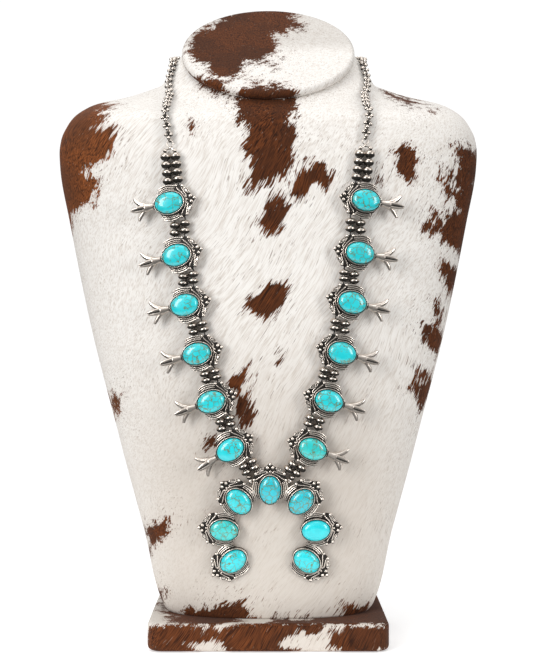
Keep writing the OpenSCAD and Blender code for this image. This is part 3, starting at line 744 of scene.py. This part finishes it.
# Settings, in their own frame: x away from the blossom or out of the crescent, and z out of
# the stone's face.
# The stone, its bezel and the plate have the same values as the solids
STONE_L, STONE_W, STONE_SIDE, STONE_DOME, STONE_SEAT = 16.0, 12.0, 1.9, 3.2, 1.0
BEZEL_A, BEZEL_B, BEZEL_WALL, PLATE_T, RIB_D, BALL_D = 8.9, 6.9, 0.8, 0.9, 0.9, 2.0
BEZEL_AXES = np.array([BEZEL_A, BEZEL_B])
FEATHER_MIDDLE, FEATHER_R = np.array([0.09, -0.435]) * BEZEL_AXES, 1.87 * BEZEL_B
# Ribs of a feather from the balls to the pointed tip, with the half width
FEATHERS = [
    ([(5.3, 8.6), (2.7, 9.55), (-0.4, 9.88), (-3.2, 9.40), (-5.8, 8.20)], 0.475),
    ([(4.7, 7.8), (2.2, 8.50), (-0.9, 8.75), (-3.7, 8.20), (-6.3, 6.95)], 0.41),
    ([(4.2, 7.05), (1.6, 7.60), (-1.3, 7.75), (-3.6, 7.20), (-5.7, 6.05)], 0.35),
]
RIB_RISE, RIB_STEPS, TIP_JITTER = 0.50, 26, 0.35
# Wires between the balls, with their radius, and the one that follows the bezel
WIRES = [
    ([(8.5, 7.6), (8.75, 6.4), (9.4, 4.9), (10.0, 3.4), (10.6, 1.9)], 0.34),
    ([(9.2, 7.5), (9.9, 7.0), (10.7, 6.9)], 0.26),
]
BAND = [(5.5, 8.0), (6.3, 6.6), (7.6, 4.9), (8.75, 2.9), (9.5, 0), (8.75, -2.9), (7.6, -4.9),
        (6.3, -6.6), (5.5, -8.0)]
BAND_R, BAND_STEPS = 0.36, 44
# Section of the bezel: distance out from its line, height, and how black it is
BEZEL_PROFILE = [
    (0.10, 0.5, 1), (0.10, 1.15, 1), (0.0, 1.35, 0.8), (0.0, 2.45, 0.3), (-0.05, 2.8, 0.1),
    (-0.18, 3.02, 0), (-0.34, 3.08, 0), (-0.48, 3.02, 0.2), (-0.56, 2.90, 1), (-0.88, 2.45, 1),
    (-0.86, 0.5, 1),
]
# Balls: x and y in shares of the bezel's half axes, and the size as a share of BALL_D
BALLS = [(0.60, 1.29, 0.95), (1.00, 1.17, 1.02), (1.11, 0.25, 0.62), (1.41, 0.22, 1.05)]
MIDDLE_BALLS = [(1.16, 0, 0.70), (1.63, 0, 0.98)]
BALL_RISE = 0.3
# The plate's edge beside the balls, in the same shares
PLATE_EDGE = [(0.74, 1.37), (1.00, 1.29), (1.09, 1.18), (1.35, 0.81), (1.43, 0.52), (1.53, 0.30),
              (1.70, 0.10)]
# The plate's rings: inset from its outline, height, share of its size, and how black it is
PLATE_LEVELS = [
    (0.40, 0.0, 0.05, 0.2), (0.40, 0.0, 0.5, 0.2), (0.40, 0.0, 0.97, 0.2), (0.25, 0.15, 1.0, 0.3),
    (0.25, PLATE_T - 0.15, 1.0, 0.8), (0.40, PLATE_T, 1.0, 1), (0.40, PLATE_T, 0.9, 1),
    (0.40, PLATE_T, 0.7, 1), (0.40, PLATE_T, 0.4, 1), (0.40, PLATE_T, 0.05, 1),
]
PLATE_ROUND, BEZEL_ROUND = 110, 96
# Leaf beside the balls: size, turn and middle, and its rings as share, height and black
LEAF_L, LEAF_W, LEAF_TURN, LEAF_AT = 4.4, 1.9, -51, np.array([1.24, 0.74]) * BEZEL_AXES
LEAF_LEVELS = [
    (1.0, 0.4, 1), (1.06, 0.9, 1), (1.06, 1.45, 0.35), (0.96, 1.68, 0), (0.86, 1.66, 0),
    (0.76, 1.30, 0.95), (0.5, 1.28, 0.45), (0.22, 1.42, 0.2),
]
# Heights over the back: black below the first, bright above the second
FEATHER_SOOT, WIRE_SOOT, BALL_SOOT = (0.98, 1.22), (0.92, 1.18), (0.85, 1.45)
# Tubes behind a setting for the two strands: how far behind, half length and points round
STRAND_DROP, TUBE_HALF, TUBE_ROUND = 0.9, 7.4, 20
STRAND_X = (0.42 * BEZEL_A - 3.0, 0.42 * BEZEL_A + 3.0)
SETTING_HALF = FEATHER_MIDDLE[1] + FEATHER_R + RIB_D / 2 + 0.1
TUBE = [(0, 0.6, 1), (0, 1.02, 0.6), (0.18, 1.2, 0.4), (2 * TUBE_HALF - 0.18, 1.2, 0.4),
        (2 * TUBE_HALF, 1.02, 0.6), (2 * TUBE_HALF, 0.6, 1)]


def plate_outline():
    """The plate's outline, clockwise: round the stem, the feather and the balls, and back."""
    stem = np.stack(polar(np.arange(180, 143, -9)), axis=1) * BEZEL_AXES
    arc = polar(np.arange(112, 69.9, -6), FEATHER_R + 0.3 * RIB_D)
    half = np.concatenate([stem, FEATHER_MIDDLE + np.stack(arc, axis=1), PLATE_EDGE * BEZEL_AXES])
    return np.concatenate([half, half[:0:-1] * (1, -1)])


def even_outline(outline, count):
    """Closed outline with points at even steps."""
    closed = np.concatenate([outline, outline[:1]])
    marks = np.append(0, np.cumsum(np.hypot(*np.diff(closed, axis=0).T)))
    at = np.linspace(0, marks[-1], count, endpoint=False)
    return np.stack([np.interp(at, marks, closed[:, i]) for i in (0, 1)], axis=1)


def flip(part):
    """Mirror image across the setting."""
    points, faces = part
    return points * (1, -1, 1), faces


def leaf():
    """Almond-shaped rim with a sunken middle."""
    r = ((LEAF_L / 2) ** 2 + (LEAF_W / 2) ** 2) / LEAF_W
    half = math.asin(LEAF_L / 2 / r)
    a = np.linspace(-half, half, 15)
    upper = np.stack([r * np.sin(a), r * np.cos(a) - r + LEAF_W / 2], axis=1)
    ring = np.concatenate([upper, -upper[1:-1]])
    c, s = polar(LEAF_TURN)
    turn = np.array([[c, s], [-s, c]])
    rings = [at_height(ring * share @ turn + LEAF_AT, z) for share, z, black in LEAF_LEVELS]
    value = np.repeat([black for share, z, black in LEAF_LEVELS], len(ring))
    return rings_solid(rings), np.append(value, [1, 0])


def ribbon(knots, half):
    """Domed strip along knots, rounded at its first end and pointed at its last."""
    path = spline([(x, y, PLATE_T + 0.05) for x, y in knots], RIB_STEPS)
    t = np.linspace(0, 1, RIB_STEPS)
    taper = np.minimum(np.clip(t / 0.08, 0.3, 1), np.clip((1 - t) / 0.30, 0.06, 1) ** 0.8)
    c, s = turns(10)
    return sweep(path, half * taper, np.stack([c, RIB_RISE / half * s], axis=1))


def wire(knots, r, count=22):
    """Round wire along knots, rounded at both ends."""
    path = spline([(x, y, PLATE_T + 0.12) for x, y in knots], count)
    t = np.linspace(0, 1, count)
    first, last = (np.sqrt(1 - np.clip(1 - s / 0.08, 0, 1) ** 2) for s in (t, 1 - t))
    return sweep(path, r * np.clip(first * last, 0.12, 1), np.stack(turns(8), axis=1))


def add_sooty(shape, part, soot):
    """A part that is black in its recesses, by its height over the setting's back."""
    low, high = soot
    shape.add(part, np.clip((high - part[0][:, 2]) / (high - low), 0, 1))


def add_both(shape, part, soot):
    """A sooty part and its mirror image."""
    add_sooty(shape, part, soot)
    add_sooty(shape, flip(part), soot)


def add_setting(shape, rng):
    """Everything of a setting but its stone: plate, bezel, feathers, balls and wires."""
    outline = even_outline(plate_outline(), PLATE_ROUND)
    along = np.roll(outline, -1, 0) - np.roll(outline, 1, 0)
    inward = unit(np.stack([along[:, 1], -along[:, 0]], axis=1))
    rings = [at_height((outline + inset * inward) * share, z)
             for inset, z, share, black in PLATE_LEVELS]
    value = np.repeat([level[-1] for level in PLATE_LEVELS], PLATE_ROUND)
    shape.add(rings_solid(rings), np.append(value, [0.2, 1]))

    # Thin smooth band whose lip is pressed over the stone, black inside the lip
    oval = np.stack(turns(BEZEL_ROUND), axis=1)
    rings = [at_height((BEZEL_AXES + out) * oval, z) for out, z, black in BEZEL_PROFILE]
    value = np.repeat([row[-1] for row in BEZEL_PROFILE], BEZEL_ROUND)
    shape.add((np.concatenate(rings), grid_faces(len(rings), BEZEL_ROUND, True)), value)

    for knots, half in FEATHERS:
        knots = np.array(knots)
        knots[-1, 0] += rng.uniform(-TIP_JITTER, TIP_JITTER)
        add_both(shape, ribbon(knots, half), FEATHER_SOOT)
    for knots, r in WIRES:
        add_both(shape, wire(knots, r), WIRE_SOOT)
    add_sooty(shape, wire(BAND, BAND_R, BAND_STEPS), WIRE_SOOT)

    def ball(x, y, d):
        add_sooty(shape, sphere((x * BEZEL_A, y * BEZEL_B, PLATE_T + BALL_RISE), BALL_D * d), BALL_SOOT)

    for way in (1, -1):
        for x, y, d in BALLS:
            ball(x, way * y, d * rng.uniform(0.96, 1.04))
        part, value = leaf()
        shape.add(part if way > 0 else flip(part), value)
    for x, y, d in MIDDLE_BALLS:
        ball(x, y, d)


# Squash blossom: (distance out along the stem, radius) of the collar and the bell, the
# bell's with how black it is
COLLAR = [(-0.2, 0.6), (0.15, 1.6), (0.35, 1.9), (0.62, 1.94), (0.82, 1.76), (0.9, 1.3)]
BELL = [(0.5, 1.62, 0.5), (1.2, 1.68, 0), (2.0, 1.78, 0), (2.8, 1.92, 0), (3.6, 2.12, 0), (4.4, 2.34, 0),
        (5.1, 2.52, 0), (5.7, 2.60, 0), (6.0, 2.48, 0.35), (5.8, 1.8, 1), (4.9, 0.8, 1)]
# Petals: (distance out, distance from the stem's axis), half widths and half thicknesses.
# The first is broad at its foot and bent outward, the second is thinner and straighter
BENT_PETAL = ([(3.4, 0.8), (5.6, 1.35), (7.5, 2.2), (9.1, 3.5), (10.3, 4.9), (11.2, 6.4)],
              [1.2, 1.7, 1.65, 1.4, 1.15, 0.7], [1.05, 1.48, 1.50, 1.34, 1.14, 0.72])
THIN_PETAL = ([(3.4, 0.8), (5.4, 1.4), (7.0, 2.3), (8.4, 3.5), (9.6, 4.9), (10.7, 6.4)],
              [1.1, 1.45, 1.35, 1.2, 1.0, 0.7], [1.00, 1.30, 1.24, 1.12, 1.00, 0.74])
FRONT_PETAL = ([(3.2, 0.8), (5.2, 1.45), (7.2, 1.9), (9.2, 2.2), (11.4, 2.45), (13.3, 2.75)],
               [1.1, 1.70, 1.90, 1.85, 1.50, 0.80], [0.7, 1.0, 0.95, 0.86, 0.72, 0.50])
BACK_PETAL = ([(3.2, 0.7), (5.2, 1.3), (7.2, 1.7), (9.2, 2.0), (11.0, 2.3), (12.3, 2.6)],
              [0.9, 1.4, 1.5, 1.4, 1.1, 0.5], [0.5, 0.75, 0.7, 0.6, 0.5, 0.35])
# Foot of the stem, the way it points, the points round the collar and the bell, how wide a
# petal's groove is, and the material's number
ROOT, OUT = np.array([-BEZEL_A + BEZEL_WALL / 2, 0, PLATE_T + 0.5]), (-1, 0, 0)
COLLAR_ROUND, BELL_ROUND, GROOVE_W, FLOWER_SLOT = 28, 32, 0.36, 1


def add_petal(shape, petal, tip, turn, spread=1.0, grooved=False, sides=16, count=26):
    """One petal, turned round the stem, with its tip longer by tip."""
    knots, wide, deep = (np.array(row) for row in petal)
    knots[3:5, 1] *= spread
    knots[-1, 0] += tip
    line, wide, deep = (spline(row, count) for row in (knots, wide, deep))
    c, s = polar(turn)
    outward, sideways = np.array([0, c, s]), np.array([0, -s, c])
    path = ROOT - line[:, :1] * (1.0, 0, 0) + line[:, 1:] * outward
    tangent = unit(np.gradient(path, axis=0))
    normal = unit(np.cross(tangent, sideways))
    c, s = turns(sides)
    groove = np.exp(-(c / GROOVE_W) ** 2) * (s > 0) * grooved
    height = s * (1 - 0.8 * groove)
    rings = (path[:, None] + wide[:, None, None] * c[None, :, None] * sideways
             + deep[:, None, None] * height[None, :, None] * normal[:, None])
    # The side towards the stem and the groove are black, but for the very tip
    t = np.linspace(0, 1, count)[:, None]
    black = np.maximum(groove * np.clip((t - 0.10) / 0.15, 0, 1), np.where(s < -0.85, 0.9, 0.0))
    black = black * np.clip((1 - t) / 0.10, 0, 1)
    part = rings_solid(rings, path[0], path[-1] + 0.5 * deep[-1] * tangent[-1])
    shape.add(part, np.append(black, [1, 0]), FLOWER_SLOT)


def add_flower(shape, rng, up):
    """Stem, bell and four petals. up is the setting's own y that faces up on the bust."""
    def jitter(amount):
        return rng.uniform(-amount, amount)

    shape.add(rings_solid(turned_rings(COLLAR, COLLAR_ROUND, ROOT, OUT)), 0.8)
    shape.add(*turned(BELL, BELL_ROUND, ROOT, OUT), FLOWER_SLOT)
    spread = 1 + jitter(0.07)
    add_petal(shape, BENT_PETAL, jitter(0.3), 90 - 90 * up, spread)
    add_petal(shape, THIN_PETAL, jitter(0.3), 90 + 90 * up)
    add_petal(shape, FRONT_PETAL, jitter(0.15), 90 + 10 * up * (1 + jitter(0.5)),
              grooved=True, sides=20, count=30)
    add_petal(shape, BACK_PETAL, 0.0, 270)


def add_tubes(shape):
    """The two tubes that the strands run through."""
    for x in STRAND_X:
        shape.add(*turned(TUBE, TUBE_ROUND, (x, -TUBE_HALF, -STRAND_DROP), (0, 1, 0), bored=True))


def node_points(node):
    """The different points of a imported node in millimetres, and which one each vertex is."""
    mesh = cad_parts[node].data
    points = np.zeros(len(mesh.vertices) * 3)
    mesh.vertices.foreach_get("co", points)
    points, which = np.unique(np.round(points.reshape(-1, 3) / MM, 4), axis=0, return_inverse=True)
    return points, which.ravel()


class Setting:
    """Frame of a setting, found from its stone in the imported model."""

    def __init__(self, stone, outward):
        points = node_points(stone)[0]
        middle = points.mean(0)
        vectors = np.linalg.eigh(np.cov((points - middle).T))[1]
        face, x = vectors[:, 0], vectors[:, 2]
        if face[1] > 0:
            face = -face
        if np.dot(x, outward(middle)) < 0:
            x = -x
        foot = ((points - middle) @ face).min()
        self.x, self.face = x, face
        self.axes = np.array([x, np.cross(face, x), face])
        self.at = middle + (foot - STONE_SEAT) * face

    def place(self, points):
        return self.at + points @ self.axes


# How veined each stone is, from the top of each side down and round the crescent. A few
# stones have another tint than the clear one
VEINS = {
    "stone_left": (0.67, 0.47, 0.62, 0.77, 0.72, 0.47),
    "stone_right": (0.57, 0.82, 0.67, 0.72, 0.70, 0.72),
    "crescent_stone": (0.80, 0.80, 0.70, 0.85, 0.95, 0.0, 0.72),
}
CLEAR, DEEP, GREEN = (0.008, 0.60, 0.66), (0.004, 0.50, 0.60), (0.018, 0.55, 0.54)
TINTS = {"stone_right_6": GREEN, "crescent_stone_2": GREEN, "crescent_stone_4": DEEP,
         "crescent_stone_5": DEEP}
# The dome of a stone: shares of its height and of its width
DOME = [(0.0, 1.0), (0.28, 0.97), (0.52, 0.91), (0.72, 0.79), (0.86, 0.64), (0.96, 0.42), (1.0, 0.0)]
STONE_ROUND, DOME_STEPS = 72, 26


def make_stone(group, k, setting, seed):
    """Smooth oval stone, with its edge in the bezel darker."""
    node = "%s_%d" % (group, k)
    levels = [(0.0, 1.0, 1.0), (STONE_SIDE * 0.6, 1.0, 1.0), (STONE_SIDE, 1.0, 0.9)]
    levels += [(STONE_SIDE + h * STONE_DOME, share, max(0.0, 0.9 - 5.0 * h))
               for h, share in spline(DOME, DOME_STEPS)[1:-1]]
    oval = np.stack(turns(STONE_ROUND), axis=1) * (STONE_L / 2, STONE_W / 2)
    rings = [at_height(oval * share, STONE_SEAT + h) for h, share, rim in levels]
    value = np.repeat([rim for h, share, rim in levels], STONE_ROUND)
    top = STONE_SEAT + STONE_SIDE + STONE_DOME
    shape = Shape()
    shape.add(rings_solid(rings, (0, 0, STONE_SEAT), (0, 0, top)), np.append(value, [1, 0]))
    tint = TINTS.get(node, CLEAR)
    material = turquoise_material("turquoise_" + node, seed, VEINS[group][k - 1], tint)
    made = shape.object("dressed_" + node, [material], "rim", setting.place)
    finish_piece(made, node)


def make_blossom(side, name, k):
    """A setting with its blossom, its tubes and its stone."""
    seed = 100 * (side + 2) + k
    rng = np.random.default_rng(seed)
    setting = Setting("stone_%s_%d" % (name, k), lambda at: (-side, 0, 0))
    shape = Shape()
    add_setting(shape, rng)
    add_flower(shape, rng, -side)
    add_tubes(shape)
    node = "blossom_%s_%d" % (name, k)
    made = shape.object("dressed_" + node, [SILVER, FLOWER], "dark", setting.place)
    finish_piece(made, node)
    make_stone("stone_" + name, k, setting, seed)
    return setting


# The crescent: the middle and radius of its ring of settings, the cups of the two strands
# on a side as shares of that radius across and up, and a cup's profile with its black
CRESCENT_MIDDLE, CRESCENT_R, SEED = np.array([1.0, 0.0, 66.0]), 26.2, 500
CUPS = [(0.412, 1.153), (0.26, 1.244)]
CUP_DROP, CUP_L, CUP_ROUND = 1.35, 2.4, 24
CUP = [(0, 0.3, 0.4), (0, 1.35, 0.4), (0.2, 1.6, 0.3), (CUP_L - 0.2, 1.6, 0.3), (CUP_L, 1.35, 0.5),
       (CUP_L, 0.6, 1), (CUP_L - 1.6, 0.6, 1), (CUP_L - 1.7, 0.3, 1)]


def crescent(lowest):
    """Seven settings in an open ring, and the cups that face the lowest setting of each side."""
    whole, settings = Shape(), []
    for k in range(1, 8):
        setting = Setting("crescent_stone_%d" % k, lambda at: (at - CRESCENT_MIDDLE) * (1, 0, 1))
        settings.append(setting)
        piece = Shape()
        add_setting(piece, np.random.default_rng(SEED + k))
        points, values = np.concatenate(piece.points), np.concatenate(piece.values)
        whole.add((setting.place(points), piece.faces), values)
        make_stone("crescent_stone", k, setting, SEED + k)
    top = settings[3]
    for side, setting in lowest.items():
        for x, (across, up) in zip(STRAND_X, CUPS):
            reach = CRESCENT_R * (side * across * np.array([1.0, 0, 0]) + (up - 1) * top.x)
            foot = top.at + reach - CUP_DROP * top.face
            way = unit(setting.place(np.array([x, side * SETTING_HALF, -STRAND_DROP])) - foot)
            whole.add(*turned(CUP, CUP_ROUND, foot - CUP_L / 2 * way, way, bored=True))
    finish_piece(whole.object("dressed_crescent", [SILVER], "dark"), "crescent")


def solids_of(node):
    """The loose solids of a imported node, as the points of each in millimetres."""
    places, which = node_points(node)
    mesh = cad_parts[node].data
    edges = np.zeros(len(mesh.edges) * 2, int)
    mesh.edges.foreach_get("vertices", edges)
    a, b = which[edges.reshape(-1, 2)].T
    group = np.arange(len(places))
    while True:
        before = group.copy()
        least = np.minimum(group[a], group[b])
        np.minimum.at(group, a, least)
        np.minimum.at(group, b, least)
        group = group[group]
        if (group == before).all():
            return [places[group == g] for g in np.unique(group)]


def own_axes(points):
    """Middle of a solid, its axes from the shortest extent to the longest, and the extents."""
    vectors = np.linalg.eigh(np.cov((points - points.mean(0)).T))[1].T
    along = points @ vectors.T
    low, high = along.min(0), along.max(0)
    order = np.argsort(high - low)
    return (low + high) / 2 @ vectors, vectors[order], (high - low)[order]


# Beads: how much wider than the solids, how far a neck reaches out, and the gap that is left
BEAD_GROW, NECK_REACH, BEAD_GAP = 1.14, 0.75, 0.06
# How far off a neighbour can be, and the least share of that distance along the axis
NEAR, IN_LINE = 7.0, 0.8
# A bead this long, as a share of its solid's width, is a round one. Half lengths of the
# bodies of round and flat ones as shares of their radius, and how boxy a body is
ROUND_SHARE, ROUND_BODY, FLAT_BODY, BOXINESS = 0.79, 0.93, 0.76, 2.3
# Rings of a body as shares of its half length, then radii of its neck as shares of its own
BODY_SHARES = (0.0, 0.25, 0.45, 0.62, 0.76, 0.87, 0.95)
NECK_FOOT, NECK_END, NECK_MIDDLE, BEAD_ROUND = 0.42, 0.40, 0.24, 28


def dress_beads(node):
    """Polished beads with black necks that meet along the thread; the necks' black is patina and painted
    shade between the beads.
    """
    beads = [own_axes(points) for points in solids_of(node)]
    middles = np.array([bead[0] for bead in beads])
    shape = Shape()
    for middle, axes, spans in beads:
        axis, half, r = axes[0], spans[0] / 2, spans[2] / 2 * BEAD_GROW
        away = (middles - middle) @ axis
        apart = np.linalg.norm(middles - middle, axis=1)
        near = (apart < NEAR) & (np.abs(away) > IN_LINE * apart) & (apart > 0)
        is_round = half > ROUND_SHARE * spans[2] / 2
        profile = []
        for way in (-1, 1):
            beside = np.abs(away[near & (np.sign(away) == way)])
            room = beside.min() / 2 - BEAD_GAP if len(beside) else half + 0.2
            end = min(room, half + NECK_REACH)
            body = min(end, ROUND_BODY * r if is_round else max(half, FLAT_BODY * r))
            rows = [(share * body, r * (1 - share ** BOXINESS) ** 0.5, 0.0) for share in BODY_SHARES]
            # The neck rows are black: patina and painted shade between the beads
            rows += [(0.97 * body, NECK_FOOT * r, 1.0), (end, NECK_END * r, 1.0),
                     (end, NECK_MIDDLE * r, 1.0)]
            rows = [(way * along, wide, black) for along, wide, black in rows]
            profile += rows[::-1] if way < 0 else rows[1:]
        shape.add(*turned(profile, BEAD_ROUND, middle, axis))
    finish_piece(shape.object("dressed_" + node, [BEAD], "dark"), node)


# Links: the solids' wire radius and the one shown, the balls, how far they sit inside the
# ring, and the black core, a dark sphere that stands in for the shade in the ring's hole
LINK_SOLID_R, LINK_WIRE_R, LINK_BALL_D, LINK_BALL_IN, LINK_SHADE_CORE_D = 0.275, 0.35, 2.25, 0.3, 1.7
LINK_ROUND, WIRE_ROUND = 26, 8


def dress_chain(node):
    """Links with bright balls, and in those that face the front or the top a black core that stands in
    for the shade in the ring's hole.
    """
    shape = Shape()
    for middle, (z, y, x), spans in map(own_axes, solids_of(node)):
        r = spans[1] / 2 - LINK_SOLID_R
        c, s = turns(LINK_ROUND)
        spokes = c[:, None] * x + s[:, None] * y
        c, s = turns(WIRE_ROUND)
        rings = [middle + (r + LINK_WIRE_R * out) * spokes + LINK_WIRE_R * up * z
                 for out, up in zip(c, s)]
        black = np.repeat(np.clip(0.5 - 0.9 * c, 0, 1), LINK_ROUND)
        shape.add((np.concatenate(rings), grid_faces(WIRE_ROUND, LINK_ROUND, True)), black)
        for way in (-1, 1):
            shape.add(sphere(middle + way * (r - LINK_BALL_IN) * x, LINK_BALL_D))
        # A black sphere in the ring's hole: painted shade
        if abs(z[1]) > 0.5 or abs(z[2]) > 0.6:
            shape.add(sphere(middle, LINK_SHADE_CORE_D, 12, 8), 1.0)
    finish_piece(shape.object("dressed_" + node, [CHAIN], "dark"), node)


def paint_node(made, material):
    """A node that stays as it is packed, in a new material."""
    if not made.material_slots:
        made.data.materials.append(material)
    for slot in made.material_slots:
        slot.material = material


torso()
cap()
base()
lowest = {}
for side, name in ((-1, "left"), (1, "right")):
    for k in range(1, 7):
        lowest[side] = make_blossom(side, name, k)
crescent(lowest)
for node, made in list(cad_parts.items()):
    kind = node.split("_")[0]
    if kind == "beads":
        dress_beads(node)
    elif kind == "chain":
        dress_chain(node)
    elif kind in ("thread", "joiner", "clasp"):
        paint_node(made, THREAD if kind == "thread" else CHAIN)


# Stage and light, in metres
AIM = Vector((0, 0, 0.2))
FLOOR_R, FLOOR_DROP, FLOOR_ROUND = 0.6, 0.0004, 96


def make_floor():
    """White disc that fades out before its rim."""
    g = Finish("studio_floor")
    away = g.vector("LENGTH", g.place(1.0))
    g.set(Base_Color=(0.9, 0.9, 0.9), Roughness=0.7, Alpha=g.step(away, 0.14, 0.42, 1.0, 0.0),
          Emission_Color=(1, 1, 1), Emission_Strength=0.38)
    ring = at_height(np.stack(polar(360 * np.arange(FLOOR_ROUND) / FLOOR_ROUND, FLOOR_R), axis=1),
                     -FLOOR_DROP)
    mesh = bpy.data.meshes.new("studio_floor")
    mesh.from_pydata(ring.tolist(), [], [tuple(range(FLOOR_ROUND))])
    mesh.materials.append(g.material)
    floor = bpy.data.objects.new("studio_floor", mesh)
    bpy.context.scene.collection.objects.link(floor)


def make_world():
    """White behind the part, and a room that is darker below for what the silver mirrors."""
    world = bpy.data.worlds.new("studio")
    bpy.context.scene.world = world
    world.use_nodes = True
    g = Nodes(world.node_tree)
    seen, around = (g.node("ShaderNodeBackground") for _ in range(2))
    g.put((1, 1, 1), seen.inputs["Color"])
    g.put(1.05, seen.inputs["Strength"])
    height = g.part(g.node("ShaderNodeTexCoord").outputs["Generated"], "Z")
    ramp = g.node("ShaderNodeValToRGB")
    g.put(g.times(g.plus(height, 1.0), 0.5), ramp.inputs["Fac"])
    stops = ramp.color_ramp.elements
    stops[0].position, stops[0].color = 0.35, (0.14, 0.13, 0.12, 1)
    stops[1].position, stops[1].color = 0.76, (1.0, 1.0, 1.0, 1)
    stops.new(0.55).color = (0.36, 0.35, 0.34, 1)
    g.put(ramp.outputs["Color"], around.inputs["Color"])
    g.put(0.64, around.inputs["Strength"])
    mix = g.node("ShaderNodeMixShader")
    camera_ray = g.node("ShaderNodeLightPath").outputs["Is Camera Ray"]
    for value, socket in zip((camera_ray, around.outputs[0], seen.outputs[0]), mix.inputs):
        g.put(value, socket)
    g.put(mix.outputs[0], g.node("ShaderNodeOutputWorld").inputs["Surface"])


def add_light(name, at, size, power):
    """Softbox that faces the part."""
    data = bpy.data.lights.new(name, "AREA")
    data.shape = "RECTANGLE"
    data.size, data.size_y = size
    data.energy = power
    light = bpy.data.objects.new(name, data)
    light.location = at
    light.rotation_euler = (AIM - Vector(at)).to_track_quat("-Z", "Y").to_euler()
    bpy.context.scene.collection.objects.link(light)


make_floor()
make_world()
add_light("key_softbox", (-0.90, -1.05, 0.52), (0.5, 0.9), 12.5)
add_light("fill_softbox", (1.05, -0.90, 0.42), (0.4, 0.8), 7.5)
add_light("top_softbox", (-0.1, -0.25, 1.4), (0.9, 0.9), 4.6)

scene = bpy.context.scene
scene.view_settings.view_transform = "Standard"
scene.view_settings.look = "None"
